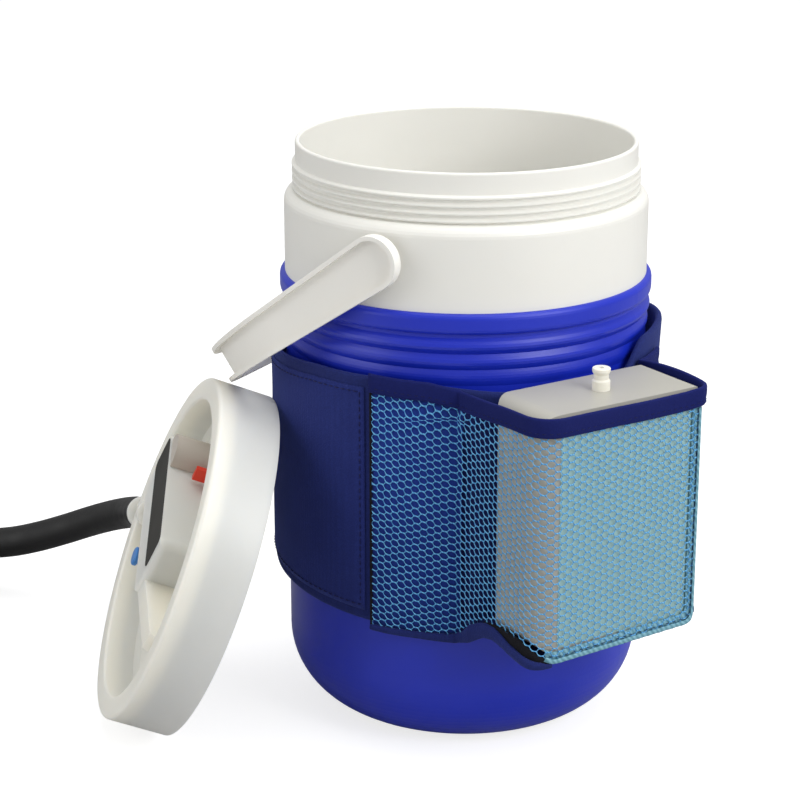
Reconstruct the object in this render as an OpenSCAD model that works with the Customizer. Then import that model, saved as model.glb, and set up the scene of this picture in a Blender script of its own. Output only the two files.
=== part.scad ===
// Cooler jug for hot and cold therapy, with its lid leaning on it, a water hose and a clip-on air pump.
// The origin is the centre of the jug's foot on the table. +Z is up and the carry handle turns about Y.

/* [Jug] */
// Height of the open mouth above the table
jug_h = 317.3; // [290:0.1:360]
// How far the jacket's straight side stands out from the neck
jacket_out = 5.7; // [5:0.1:12]
// Radius of the rounded foot of the jacket
foot_r = 42.6; // [30:0.1:50]
// How far the rolled lip stands out from the side
lip_out = 3.3; // [2:0.1:6]
// Height of the rolled lip
lip_h = 11; // [8:0.5:14]
// Height at which the collar sits on the jacket
collar_z = 247.2; // [235:0.1:255]
// Wall of the jacket
jacket_wall = 2.9; // [2:0.1:4]
// Grooves under the rolled lip
groove_count = 4; // [2:1:6]
// Distance from one groove to the next
groove_pitch = 8.3; // [6:0.1:10]
// How far the top rib stands out from the side
rib_out = 2.7; // [1:0.1:3]
// Thickness of the rubber foot pad
pad_h = 3.8; // [2:0.1:6]

/* [Neck] */
// Outer radius of the neck
neck_r = 91; // [82:0.1:100]
// Wall of the neck and the tank
tank_wall = 2.5; // [2:0.1:4]
// How far the collar stands out from the neck
collar_out = 6.2; // [5:0.1:7]
// Height of the collar's straight side
collar_h = 37.8; // [34:0.1:40]
// Distance from one thread ridge to the next
thread_pitch = 3.9; // [3:0.1:6]
// Thread ridges on the neck
thread_count = 4; // [2:1:5]
// Height of a thread ridge
thread_out = 1.8; // [1:0.1:2.4]
// How much narrower the tank is at its floor than at its mouth
tank_draft = 6; // [4:0.1:10]

/* [Handle] */
// Height of the handle's pivots
pivot_z = 272.4; // [266:0.1:278]
// How far the grip reaches out past the collar
bail_past = 42.8; // [41:0.1:52]
// Gap between the collar and the face of each arm
bail_gap = 4.5; // [4:0.1:8]
// Thickness of the handle's web
bail_web = 2.6; // [2:0.1:4]
// How far the lips stand out from the web
bail_lip = 4; // [2:0.1:6]
// Thickness of a lip
bail_lip_t = 2.2; // [1.5:0.1:3]
// Radius of the round pivot ends
bail_end_r = 14; // [11:0.1:15]
// Width of the grip
bail_grip_w = 19; // [16:0.1:20]
// Outer radius of the handle's corners
bail_corner_r = 66; // [50:0.5:70]
// How far the resting handle's middle plane stays off the lid's top edge
bail_over = 8.5; // [8.2:0.1:12]
// Gap that the resting handle keeps from the sleeve at least
bail_clear = 2; // [1:0.1:4]
// Radius of the pivot pins
pin_r = 3.5; // [3:0.1:4.5]
// Depth of the pins in the collar
pin_depth = 4.8; // [3:0.1:5]

/* [Sleeve] */
// Gap between the jug's rolled lip and the fabric sleeve
sleeve_gap = 0.8; // [0.4:0.1:3]
// Thickness of the sleeve
sleeve_t = 3.6; // [2:0.1:5]
// Height of the sleeve's top edge at the front
sleeve_top = 213; // [205:0.5:225]
// Height of the sleeve's lower edge at the front
sleeve_low = 78; // [70:0.5:90]
// Thickness of the stitched panel
panel_t = 0.7; // [0.5:0.1:1]
// Thickness of the net
net_t = 0.8; // [0.5:0.1:1.2]
// Width of the binding tape round the pocket's top
tape_w = 10; // [7:0.1:14]
// Thickness of the binding tape, both sides together
tape_t = 2.2; // [1.6:0.1:3]
// Height of the pocket's floor
pocket_z = 82.2; // [80:0.1:95]
// Clearance between the net and the pump
pocket_gap = 1.3; // [1.3:0.1:3]

/* [Pump] */
// Width of the pump
pump_w = 99; // [86:0.1:112]
// Depth of the pump
pump_d = 44.4; // [38:0.1:55]
// Height of the pump
pump_h = 125; // [115:0.5:135]
// Direction that the pump's face looks in, from the front
pump_heading = 60.7; // [50:0.1:65]
// Offset of the pump across its own face
pump_shift = -8.9; // [-14:0.1:5]
// Wall of the pump's case
case_wall = 2.5; // [1.6:0.1:3.5]
// Radius of the case at its rounded left end
case_round = 12; // [8:0.5:16]
// Radius of the case's other edges
case_edge = 4; // [3:0.1:6]
// Height of the air outlet
outlet_h = 11.5; // [9:0.1:16]
// Offset of the air outlet across the pump's top
outlet_shift = 3.2; // [-8:0.1:8]
// Radius of the motor
motor_r = 14; // [10:0.1:16]

/* [Lid] */
// Clearance between the neck's thread ridges and the lid's skirt
lid_fit = 0.8; // [0.4:0.1:1.6]
// Height of the lid
lid_h = 33.8; // [30:0.1:38]
// Wall of the lid's skirt
lid_wall = 2.4; // [1.8:0.1:2.6]
// Width of the lid's rim round its recess
lid_rim_w = 12.5; // [12:0.1:18]
// Height of the recess floor in the lid
recess_floor = 14; // [12:0.1:18]
// Lean of the lid from upright
lid_lean = 21.6; // [18:0.1:26]
// Direction that the lid faces in
lid_heading = 217.5; // [205:0.5:225]
// Length of the raised grip
grip_l = 88; // [70:0.5:100]
// Width of the raised grip
grip_w = 41.5; // [36:0.5:46]
// How far the grip stands above the rim
grip_up = 6.2; // [3:0.1:10]
// Turn of the grip in the lid
grip_turn = -24.1; // [-40:0.1:0]
// Length of the blank label
label_l = 82.5; // [60:0.5:86]
// Width of the blank label
label_w = 24; // [16:0.5:30]
// Radius of the half round boss
boss_r = 11; // [8:0.1:13]
// Radius of the vent cap
cap_r = 5.2; // [4:0.1:7]
// Travel of the vent cap and the plug tab
vent_travel = 2.5; // [1:0.1:2.6]
// Height of the hose outlet in the lid
outlet_level = 28.2; // [28:0.1:29]

/* [Hose] */
// Outer diameter of the foam covered hose
hose_d = 18.7; // [16:0.1:19]
// Turns in the coil
coil_turns = 1.5; // [1.3:0.05:1.6]
// Radius of the coil's inner turn
coil_r = 92; // [86:0.5:95]
// Space between the turns
coil_space = 1.1; // [0.7:0.1:3]
// Length of the coupling's body
coupling_l = 28; // [22:0.5:34]

/* [Fits] */
// Gap between pieces that don't move on each other
rest_gap = 0.3; // [0.2:0.05:0.5]
// Radial clearance of a running fit
run_gap = 0.06; // [0.02:0.01:0.1]
// Gap between the leaning lid and the panel
lid_gap = 0.3; // [0.2:0.1:1]

/* [Hidden] */
$fn = 96;
tiny = 0.01;
// Colours, as they look
blue = "#2230c8";
navy = "#1c2a70";
white = "#e6e5e0";
clear_white = "#d8d8d2";
black = "#202022";
beige = "#c9c6bb";
grey = "#b8b0a6";
steel = "#b9bcc0";
// Jacket
jacket_r = neck_r + jacket_out;
lip_r = jacket_r + lip_out;
lip_round = 3;
groove_top = collar_z - lip_h - 1.9;
groove_out = 0.3;
rib_taper = 0.8;
jacket_in_r = jacket_r - jacket_wall;
foot_flat = jacket_r - foot_r;
pad_r = foot_flat + sqrt(foot_r * foot_r - pow(foot_r - pad_h, 2));
jacket_floor = pad_h + jacket_wall;
// Tank
collar_r = neck_r + collar_out;
tank_in_r = neck_r - tank_wall;
tank_floor_r = tank_in_r - tank_draft;
thread_top = jug_h - 12.6;
tank_floor = jacket_floor + 9;
rim_round = 1.2;
socket_r = pin_r + run_gap;
socket_depth = pin_depth + 0.6;
// Handle
bail_reach = collar_r + bail_past;
arm_y = collar_r + bail_gap;
web_y = arm_y + bail_web;
lip_y = web_y + bail_lip;
boss_gap = 0.6;
// Sleeve and pocket
sleeve_inner_r = lip_r + sleeve_gap;
sleeve_r = sleeve_inner_r + sleeve_t;
hem_inner_r = jacket_r + rest_gap;
hem_h = 10;
panel_gap = 0.2;
panel_r = sleeve_r + panel_gap + panel_t;
panel_from = -88;
panel_to = -3;
panel_margin = 6;
sleeve_fall = 9;
sleeve_low_fall = 6;
net_off = (tape_t - net_t) / 2;
pocket_r = sleeve_r + rest_gap + net_off;
pocket_left = -1;
pocket_fold = 25;
pocket_right = 101;
net_floor_t = 1;
seam_t = 1.6;
seam_h = 3;
tape_front = 211;
tape_dip_x = 46;
// Pump, in its own frame: x across its face, -y out of its face
pump_gap = rest_gap * 4;
pump_back = -(sleeve_r + pump_gap);
pump_front = pump_back - pump_d;
pump_y = (pump_back + pump_front) / 2;
pump_foot_h = 3.4;
pump_z = pocket_z + net_floor_t + rest_gap + pump_foot_h;
pump_left = pump_shift - pump_w / 2;
pump_right = pump_shift + pump_w / 2;
cover_t = 2.5;
cover_y = pump_d / 2 - cover_t;
screw_in = 9;
screw_r = 1.5;
boss_out = 3.6;
outlet_stem_r = 2.5;
outlet_waist_r = 3.8;
outlet_r = 4.6;
inlet_w = 12;
inlet_z = 62;
label_t = 0.25;
// Lid, in its own frame: z out of its top face, y up its face
lid_in_r = neck_r + thread_out + lid_fit;
lid_r = lid_in_r + lid_wall;
recess_r = lid_r - lid_rim_w;
lid_top_t = 10.2;
gasket_t = 2;
recess_t = 3.5;
recess_out_r = recess_r + lid_wall;
liner_t = 2;
grip_top = lid_h + grip_up;
grip_x = -58.5;
grip_y = -11;
grip_corner = 5;
ramp_w = 12;
ramp_l = 45;
ramp_end = 8;
boss_x = -42;
cap_x = -10.5;
cap_y = -21.5;
tab_x = -24;
tab_y = 37.5;
stem_r = 2.5;
tab_h = 11;
lid_reach = panel_r + lid_gap;
lid_side = 13.7;
// Hose
hose_r = hose_d / 2;
outlet_turn = 200;
outlet_x = 1.5 - lid_r;
outlet_y = -15;
gland_r = 4;
gland_flange_r = 9.6;
gland_flange_t = 3.2;
locknut_r = 8;
gland_start = 3;
gland_l = 20;
coil_x = -370;
coil_y = -123;
coil_entry = 100;
coil_z = hose_r + 0.95;
coil_pitch = hose_d + coil_space;
coil_layer = hose_d + 0.9;
tie_turn = 0.05;
tie_w = 12;
tie_t = 0.7;
cuff_l = 11;
coupling_r = 10;
spigot_r = 5.5;
spigot_l = 15;
ring_r = 1.2;
latch_l = 12;
latch_w = 8;
latch_travel = 2.5;

// Points on an arc, from one angle to another
function arc(x, y, r, from, to, steps) =
    [for (i = [0 : steps]) let (a = from + (to - from) * i / steps) [x + r * cos(a), y + r * sin(a)]];
function reversed(list) = [for (i = [len(list) - 1 : -1 : 0]) list[i]];
function unit(v) = v / norm(v);

// ---- jug ----

// One rib between two grooves, from the upper groove down
function rib(i) = let (z = groove_top - i * groove_pitch, out = rib_out - i * rib_taper)
    [for (t = [0 : 6]) [jacket_r + groove_out + (out - groove_out) * sin(180 * t / 6), z - groove_pitch * t / 6]];

module foot_pad() {
    color("#4a4d55")
        rotate_extrude()
            polygon(concat([[0, 0]], arc(foot_flat, foot_r, foot_r, -90, -asin((foot_r - pad_h) / foot_r), 6),
                [[0, pad_h]]));
}

module jacket() {
    foot_from = -asin((foot_r - pad_h) / foot_r);
    color(blue)
        rotate_extrude()
            polygon(concat(
                [[0, pad_h]],
                arc(foot_flat, foot_r, foot_r, foot_from, 0, 14),
                reversed([for (i = [0 : groove_count - 2]) each rib(i)]),
                arc(lip_r - lip_round, collar_z - lip_h + lip_round, lip_round, -90, 0, 4),
                arc(lip_r - lip_round, collar_z - lip_round, lip_round, 0, 90, 4),
                [[jacket_in_r, collar_z]],
                arc(foot_flat, foot_r, foot_r - jacket_wall, 0,
                    -asin((foot_r - jacket_floor) / (foot_r - jacket_wall)), 10),
                [[0, jacket_floor]]));
}

// Outside of the tank below the collar, as radius and height
function tank_outside() = [[tank_floor_r + tank_wall, tank_floor - tank_wall + 12],
    [tank_floor_r + tank_wall - 12, tank_floor - tank_wall]];

module insulation() {
    inside_r = foot_r - jacket_wall - rest_gap;
    color("#e8dfb0")
        rotate_extrude()
            polygon(concat(
                [[0, jacket_floor]],
                arc(foot_flat, foot_r, inside_r, -asin((foot_r - jacket_floor) / inside_r), 0, 8),
                [[jacket_in_r - rest_gap, collar_z - rest_gap], [neck_r + rest_gap, collar_z - rest_gap]],
                [for (p = tank_outside()) p + [rest_gap, 0]],
                [[0, tank_floor - tank_wall]]));
}

module tank_profile() {
    polygon(concat(
        [[0, tank_floor - tank_wall]],
        reversed(tank_outside()),
        [[neck_r, collar_z - tiny], [neck_r, collar_z], [collar_r, collar_z]],
        arc(neck_r, collar_z + collar_h, collar_out, 0, 84, 6),
        [[neck_r, collar_z + collar_h + collar_out + 0.1]],
        reversed([for (i = [0 : thread_count - 1]) each thread_ridge(thread_top - i * thread_pitch)]),
        arc(neck_r - rim_round, jug_h - rim_round, rim_round, 0, 90, 3),
        arc(tank_in_r + rim_round, jug_h - rim_round, rim_round, 90, 180, 3),
        [[tank_in_r, collar_z], [tank_floor_r, tank_floor + 12], [tank_floor_r - 12, tank_floor],
            [0, tank_floor]]));
}

// One ridge of the thread, from its top down
function thread_ridge(z) = [[neck_r, z + thread_pitch * 0.35], [neck_r + thread_out, z + thread_pitch * 0.1],
    [neck_r + thread_out, z - thread_pitch * 0.1], [neck_r, z - thread_pitch * 0.35]];

module tank() {
    color(white)
        difference() {
            rotate_extrude()
                tank_profile();
            for (side = [-1, 1])
                translate([0, side * (collar_r + 1), pivot_z])
                    rotate([side * 90, 0, 0])
                        cylinder(r = socket_r, h = socket_depth + 1);
        }
}

// ---- fabric sleeve ----

// A wall seen from the front: x across and z up, between two y planes
module slab(points, y_from, y_to) {
    translate([0, y_to, 0])
        rotate([90, 0, 0])
            linear_extrude(height = y_to - y_from)
                polygon(points);
}

sleeve_outline = [[-sleeve_r - 9, sleeve_top - sleeve_fall], [-40, sleeve_top - 1], [20, sleeve_top],
    [60, sleeve_top - 5], [sleeve_r + 9, sleeve_top - sleeve_fall]];
sleeve_low_line = [[sleeve_r + 9, sleeve_low - sleeve_low_fall], [-sleeve_r - 9, sleeve_low + sleeve_low_fall]];
function lifted(points, up) = [for (p = points) [p[0], p[1] + up]];

module sleeve() {
    color(navy)
        intersection() {
            rotate_extrude()
                polygon([[hem_inner_r, 0], [sleeve_r, 0], [sleeve_r, jug_h], [sleeve_inner_r, jug_h],
                    [sleeve_inner_r, sleeve_low + hem_h + sleeve_t], [hem_inner_r, sleeve_low + hem_h]]);
            union() {
                slab(concat(sleeve_outline, sleeve_low_line), -sleeve_r * 2, 0);
                slab(concat([[-sleeve_r - 9, sleeve_top - sleeve_fall], [sleeve_r + 9, sleeve_top + sleeve_fall]],
                    sleeve_low_line), 0, sleeve_r * 2);
            }
        }
}

module sleeve_panel() {
    color(navy)
        intersection() {
            rotate([0, 0, -90 + panel_from])
                rotate_extrude(angle = panel_to - panel_from)
                    translate([sleeve_r + panel_gap, 0])
                        square([panel_t, jug_h]);
            slab(concat(lifted(sleeve_outline, -panel_margin), lifted(sleeve_low_line, panel_margin)),
                -sleeve_r * 2, sleeve_r);
        }
}

// ---- pocket, drawn in the pump's frame ----

module pump_side() {
    rotate([0, 0, pump_heading])
        children();
}

to_pump = -90 - pump_heading;
corner_left = [pump_left + case_round, pump_front + case_round];
corner_right = [pump_right - case_edge, pump_front + case_edge];
fold_point = pocket_r * [cos(pocket_fold + to_pump), sin(pocket_fold + to_pump)];
fold_reach = corner_left - fold_point;
left_r = case_round + pocket_gap;
left_normal = atan2(fold_reach[1], fold_reach[0]) - asin(left_r / norm(fold_reach)) - 90;
left_distance = corner_left * [cos(left_normal), sin(left_normal)] + left_r;

function fold_angle(off) = left_normal + acos((left_distance + off) / (pocket_r + off));
function side_angle(off) = -acos((pump_right + pocket_gap + off) / (pocket_r + off));

// The part of the pocket that stands off the sleeve, at an offset from the net's inside
function pocket_front(off) = concat(
    [(pocket_r + off) * [cos(fold_angle(off)), sin(fold_angle(off))]],
    arc(corner_left[0], corner_left[1], left_r + off, left_normal, -90, 8),
    arc(corner_right[0], corner_right[1], case_edge + pocket_gap + off, -90, 0, 4),
    [(pocket_r + off) * [cos(side_angle(off)), sin(side_angle(off))]]);
function pocket_line(off) = concat(
    arc(0, 0, pocket_r + off, pocket_left + to_pump, fold_angle(off) - 1, 8),
    pocket_front(off),
    arc(0, 0, pocket_r + off, side_angle(off) + 1, pocket_right + to_pump, 5));
function pocket_wall(in, out) = concat(pocket_line(in), reversed(pocket_line(out)));

// Tape's upper edge, seen from the front of the jug: it dips where the net leaves the sleeve
tape_line = [[-20, tape_front + 5], [tape_dip_x - 16, tape_front + 2.5], [tape_dip_x, tape_front - 1.5],
    [tape_dip_x + 30, tape_front], [pocket_r * 2, tape_front]];

module pocket_net() {
    color("#7ec4e0")
        union() {
            intersection() {
                pump_side()
                    translate([0, 0, pocket_z])
                        linear_extrude(height = jug_h - pocket_z)
                            polygon(pocket_wall(0, net_t));
                slab(concat(lifted(tape_line, -tape_w), [[pocket_r * 2, 0], [-20, 0]]), -pocket_r * 2, pocket_r);
            }
            pump_side()
                translate([0, 0, pocket_z])
                    linear_extrude(height = net_floor_t)
                        polygon(concat(pocket_front(0),
                            arc(0, 0, pocket_r, side_angle(0) - 1, fold_angle(0) + 1, 10)));
        }
}

module pocket_tape() {
    color("#1e2a86")
        intersection() {
            pump_side()
                linear_extrude(height = jug_h)
                    polygon(pocket_wall(-net_off, net_t + net_off));
            slab(concat(tape_line, reversed(lifted(tape_line, -tape_w))), -pocket_r * 2, pocket_r);
        }
}

module pocket_seam() {
    color("#5fa3c4")
        pump_side()
            translate([0, 0, pocket_z])
                linear_extrude(height = seam_h)
                    polygon(concat(pocket_front(net_t), reversed(pocket_front(net_t + seam_t))));
}

// ---- carry handle, flat in its own frame: x away from the pivots, z across its width ----

module bail_frame() {
    translate([0, 0, pivot_z])
        rotate([0, -bail_drop, 0])
            mirror([1, 0, 0])
                children();
}

module bail_outline(off) {
    corner = bail_corner_r + off;
    reach = bail_reach + off;
    half = web_y + off;
    union() {
        translate([-bail_end_r * 2, -half])
            square([bail_end_r * 2 + reach - corner, 2 * half]);
        translate([0, -half + corner])
            square([reach, 2 * (half - corner)]);
        for (side = [-1, 1])
            translate([reach - corner, side * (half - corner)])
                circle(r = corner);
    }
}

module bail_side(inset) {
    far = bail_reach + bail_lip + 5;
    union() {
        circle(r = bail_end_r - inset);
        polygon([[0, bail_end_r - inset], [far, bail_grip_w / 2 - inset], [far, inset - bail_grip_w / 2],
            [0, inset - bail_end_r]]);
    }
}

module bail_ring(from, to) {
    linear_extrude(height = bail_end_r * 4, center = true)
        difference() {
            bail_outline(to);
            bail_outline(from);
        }
}

module bail_span(inset) {
    rotate([90, 0, 0])
        linear_extrude(height = lip_y * 4, center = true)
            bail_side(inset);
}

module bail() {
    color(white)
        bail_frame() {
            difference() {
                intersection() {
                    bail_ring(-bail_web, bail_lip);
                    bail_span(0);
                }
                intersection() {
                    bail_ring(0, bail_lip + 1);
                    bail_span(bail_lip_t);
                }
            }
            for (side = [-1, 1])
                translate([0, side * (arm_y + 1), 0])
                    rotate([side * 90, 0, 0]) {
                        cylinder(r = pin_r, h = bail_gap + pin_depth + 1);
                        cylinder(r = pin_r * 2, h = bail_gap - boss_gap + 1);
                    }
        }
}

// ---- lid, leaning on the sleeve ----

lid_tilt = 90 - lid_lean;
lid_z = lid_r * cos(lid_lean);
// The skirt leans on the sleeve's panel a little to one side of its top
touch_turn = asin(lid_side / (lid_r + lid_reach * sin(lid_lean)));
touch_side = lid_side - lid_r * sin(touch_turn);
lid_back = sqrt(lid_reach * lid_reach - touch_side * touch_side) + lid_r * sin(lid_lean) * cos(touch_turn);
lid_top_out = lid_back + lid_h * cos(lid_lean) - lid_r * sin(lid_lean);
lid_top_x = lid_top_out * cos(lid_heading) - lid_side * sin(lid_heading);
lid_top_z = lid_z + lid_h * sin(lid_lean) + lid_r * cos(lid_lean);
// The handle comes to rest over the leaning lid or beside the sleeve, whichever it meets first
bail_half = bail_grip_w / 2;
bail_in = bail_reach - bail_web;
over_lid = atan2(pivot_z - lid_top_z, -lid_top_x) - asin(bail_over / norm([lid_top_x, pivot_z - lid_top_z]));
by_sleeve = acos((sleeve_r + bail_clear) / norm([bail_in, bail_half])) - atan2(bail_half, bail_in);
bail_drop = min(over_lid, by_sleeve);

module lid_frame() {
    rotate([0, 0, lid_heading])
        translate([lid_back, lid_side, lid_z])
            rotate([0, lid_tilt, 0])
                rotate([0, 0, 90])
                    children();
}

module grip_frame() {
    rotate([0, 0, grip_turn])
        children();
}

// A rectangle with rounded corners
module soft_rect(w, h, r) {
    union() {
        translate([r, 0])
            square([w - 2 * r, h]);
        translate([0, r])
            square([w, h - 2 * r]);
        for (x = [r, w - r], y = [r, h - r])
            translate([x, y])
                circle(r = r, $fn = 32);
    }
}

module lid_profile() {
    polygon(concat(
        [[lid_in_r, 0], [lid_r, 0]],
        arc(lid_r - 2, lid_h - 2, 2, 0, 90, 4),
        arc(recess_r + 1.5, lid_h - 1.5, 1.5, 90, 180, 3),
        [[recess_r, recess_floor + 3], [recess_r - 3, recess_floor], [0, recess_floor],
            [0, recess_floor - recess_t], [recess_out_r, recess_floor - recess_t],
            [recess_out_r, lid_h - lid_top_t], [lid_in_r, lid_h - lid_top_t]]));
}

module grip_block(inset, base, top) {
    intersection() {
        translate([grip_x + inset, grip_y + inset, base])
            linear_extrude(height = top - base)
                soft_rect(grip_l - 2 * inset, grip_w - 2 * inset, grip_corner - inset / 2);
        translate([grip_x + inset, grip_y + grip_w + 1, base - grip_corner])
            rotate([90, 0, 0])
                linear_extrude(height = grip_w + 2)
                    soft_rect(grip_l - 2 * inset, top - base + grip_corner, 4);
    }
}

module lid_shell() {
    lower = recess_floor - recess_t;
    color(clear_white)
        lid_frame()
            difference() {
                union() {
                    rotate_extrude()
                        lid_profile();
                    grip_frame() {
                        grip_block(0, lower, grip_top);
                        ramp();
                    }
                }
                grip_frame() {
                    grip_block(lid_wall, lower - 1, grip_top - lid_wall);
                    translate([cap_x, cap_y, lower - 1])
                        cylinder(r = stem_r + run_gap, h = recess_t + 2);
                    translate([tab_x, tab_y, lower - 1])
                        cylinder(r = stem_r + run_gap, h = recess_t + 2);
                }
                outlet_frame()
                    translate([-30, 0, 0])
                        rotate([0, 90, 0])
                            cylinder(r = gland_r + run_gap, h = 50);
            }
}

// The grip's near end runs on along its lower edge as a narrow ramp that falls to the rim's level
module ramp() {
    near = grip_x + grip_l - grip_corner;
    far = grip_x + grip_l + ramp_l;
    translate([0, grip_y + 1 + ramp_w, 0])
        rotate([90, 0, 0])
            linear_extrude(height = ramp_w)
                polygon([[near, recess_floor - 1], [far, recess_floor - 1], [far - ramp_end / 2, lid_h - ramp_end],
                    [far - ramp_end, lid_h - 1], [near, grip_top - 1]]);
}

module lid_liner() {
    color(white)
        lid_frame()
            translate([0, 0, recess_floor - recess_t - liner_t])
                difference() {
                    cylinder(r = recess_out_r, h = liner_t);
                    translate([0, 0, -1])
                        cylinder(r = stem_r * 2, h = liner_t + 2);
                }
}

module lid_foam() {
    gap = lid_wall + rest_gap;
    base = recess_floor - recess_t;
    color("#e8dfb0")
        lid_frame()
            grip_frame()
                translate([grip_x + gap, grip_y + gap, base])
                    linear_extrude(height = grip_top - lid_wall - base - 5)
                        soft_rect(grip_l - 2 * gap, grip_w - 2 * gap, grip_corner);
}

module lid_gasket() {
    color("#8f9094")
        lid_frame()
            translate([0, 0, lid_h - lid_top_t - gasket_t])
                difference() {
                    cylinder(r = lid_in_r - rest_gap, h = gasket_t);
                    translate([0, 0, -1])
                        cylinder(r = recess_out_r + rest_gap, h = gasket_t + 2);
                }
}

module lid_label() {
    color("#3a382c")
        lid_frame()
            grip_frame()
                translate([grip_x + 1.5, grip_y + grip_w - label_w - 1, grip_top])
                    linear_extrude(height = label_t)
                        soft_rect(label_l, label_w, 4);
}

module lid_boss() {
    color(grey)
        lid_frame()
            grip_frame()
                translate([boss_x, grip_y + grip_w, recess_floor])
                    difference() {
                        cylinder(r = boss_r, h = grip_top - recess_floor - 1);
                        translate([-boss_r - 1, -2 * boss_r - 2, -1])
                            cube([2 * boss_r + 2, 2 * boss_r + 2, grip_top]);
                    }
}

// A vent cap with a stem in the recess floor
module vent_cap() {
    foot = recess_floor - recess_t;
    color("#3f7fc4")
        lid_frame()
            grip_frame()
                translate([cap_x, cap_y, 0])
                    rotate_extrude()
                        polygon([[0, foot + tiny], [stem_r, foot + tiny], [stem_r, recess_floor + rest_gap],
                            [cap_r - 0.6, recess_floor + rest_gap], [cap_r - 0.6, grip_top - 9],
                            [cap_r, grip_top - 8], [cap_r, grip_top - 4], [cap_r - 1.2, grip_top - 3.4],
                            [cap_r - 1.2, grip_top - 3], [cap_r, grip_top - 2.4], [cap_r, grip_top - 0.6],
                            [cap_r - 0.8, grip_top], [0, grip_top]]);
}

module plug_tab() {
    foot = recess_floor - recess_t;
    color("#d8341c")
        lid_frame()
            grip_frame()
                translate([tab_x, tab_y, 0]) {
                    translate([0, 0, foot + tiny])
                        cylinder(r = stem_r, h = recess_t + 1);
                    translate([0, 0, recess_floor + rest_gap])
                        cylinder(r = 4.6, h = 3);
                    translate([-1.5, -4, recess_floor + 2])
                        cube([3, 8, tab_h]);
                }
}

module pickup_nipple() {
    top = recess_floor - recess_t;
    color(white)
        lid_frame()
            difference() {
                union() {
                    translate([0, 0, top - 14])
                        cylinder(r = 4, h = 14);
                    translate([0, 0, top - liner_t])
                        cylinder(r = stem_r * 2 - rest_gap, h = liner_t);
                }
                translate([0, 0, top - 15])
                    cylinder(r = 2.5, h = 12);
            }
}

// ---- hose ----

// The outlet leaves the far side of the skirt: x runs out along it
module outlet_frame() {
    translate([outlet_x, outlet_y, outlet_level])
        rotate([0, 0, outlet_turn])
            children();
}

module hose_gland() {
    color(clear_white)
        lid_frame()
            outlet_frame()
                rotate([0, 90, 0]) {
                    translate([0, 0, -gland_l])
                        cylinder(r = gland_r, h = gland_l + gland_start + 1);
                    translate([0, 0, gland_start])
                        cylinder(r = gland_flange_r, h = gland_flange_t);
                }
}

module hose_locknut() {
    color(clear_white)
        lid_frame()
            outlet_frame()
                translate([-gland_l, 0, 0])
                    rotate([0, 90, 0])
                        difference() {
                            cylinder(r = locknut_r, h = 4);
                            translate([0, 0, -1])
                                cylinder(r = gland_r + run_gap, h = 6);
                        }
}

// Frames as functions, for the hose's first points
function turn_z(v, a) = [v[0] * cos(a) - v[1] * sin(a), v[0] * sin(a) + v[1] * cos(a), v[2]];
function turn_y(v, a) = [v[0] * cos(a) + v[2] * sin(a), v[1], v[2] * cos(a) - v[0] * sin(a)];
function from_lid(v) = turn_z(turn_y(turn_z(v, 90), lid_tilt) + [lid_back, lid_side, lid_z], lid_heading);
outlet_way = [cos(outlet_turn), sin(outlet_turn), 0];
hose_start = from_lid([outlet_x, outlet_y, outlet_level] + (gland_start + gland_flange_t + tiny) * outlet_way);
hose_way = unit(from_lid([outlet_x, outlet_y, outlet_level] + 99 * outlet_way)
    - from_lid([outlet_x, outlet_y, outlet_level]));

// The hose's way from the lid down to the top of the coil, chosen by hand
hose_route = [[-219, -12.5, 70.5], [-237, -4, 62.5], [-255, -0.5, 54.5], [-273, -1, 46.5], [-291, -4, 39.5],
    [-309, -7.5, 34], [-327, -11.5, 31], [-345, -15, 30]];

// The coil lies two deep: the hose winds in on top, comes down in half a turn and winds out on the table
coil_steps = round(24 * coil_turns);
coil_out = coil_entry + 360 * coil_turns;
function coil_radius(t) = coil_r + coil_pitch * abs(t - 0.5);
function coil_fall(t) = min(1, max(0, (t - 0.25) * 2));
spiral = [for (i = [0 : coil_steps]) let (t = coil_turns * i / coil_steps, a = coil_entry + 360 * t)
    [coil_x + coil_radius(t) * cos(a), coil_y + coil_radius(t) * sin(a),
        coil_z + coil_layer * (1 + cos(180 * coil_fall(t))) / 2]];
coil_way = [-sin(coil_entry), cos(coil_entry), 0];
end_way = [-sin(coil_out), cos(coil_out), 0];
coil_start = spiral[0] - hose_d * coil_way;
hose_end = spiral[coil_steps] + hose_d * end_way;
run_path = concat([hose_start, hose_start + hose_d * hose_way], hose_route,
    [coil_start - hose_r / 2 * coil_way, coil_start - tiny * coil_way]);
coil_path = concat([coil_start], spiral, [hose_end]);

function ring_way(path, i) = i == 0 ? unit(path[1] - path[0])
    : i == len(path) - 1 ? unit(path[i] - path[i - 1])
    : unit(unit(path[i + 1] - path[i]) + unit(path[i] - path[i - 1]));
function ring_points(path, i, r, sides) = let (w = ring_way(path, i), s = unit(cross(w, [0, 0, 1])), u = cross(s, w))
    [for (k = [0 : sides - 1]) let (a = 360 * (k + 0.5) / sides) path[i] + r * (cos(a) * s + sin(a) * u)];
function path_length(path) = len(path) < 2 ? 0
    : [for (i = [1 : len(path) - 1]) norm(path[i] - path[i - 1])] * [for (i = [1 : len(path) - 1]) 1];

// A tube swept along a path, with triangles for faces
module tube(path, r, sides) {
    n = len(path);
    points = [for (i = [0 : n - 1]) each ring_points(path, i, r, sides)];
    walls = [for (i = [0 : n - 2], k = [0 : sides - 1]) let (a = i * sides + k, b = i * sides + (k + 1) % sides)
        each [[a, b, a + sides], [b, b + sides, a + sides]]];
    ends = [for (k = [1 : sides - 2]) each [[0, k + 1, k],
        [(n - 1) * sides, (n - 1) * sides + k, (n - 1) * sides + k + 1]]];
    polyhedron(points = points, faces = concat(walls, ends));
}

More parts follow.
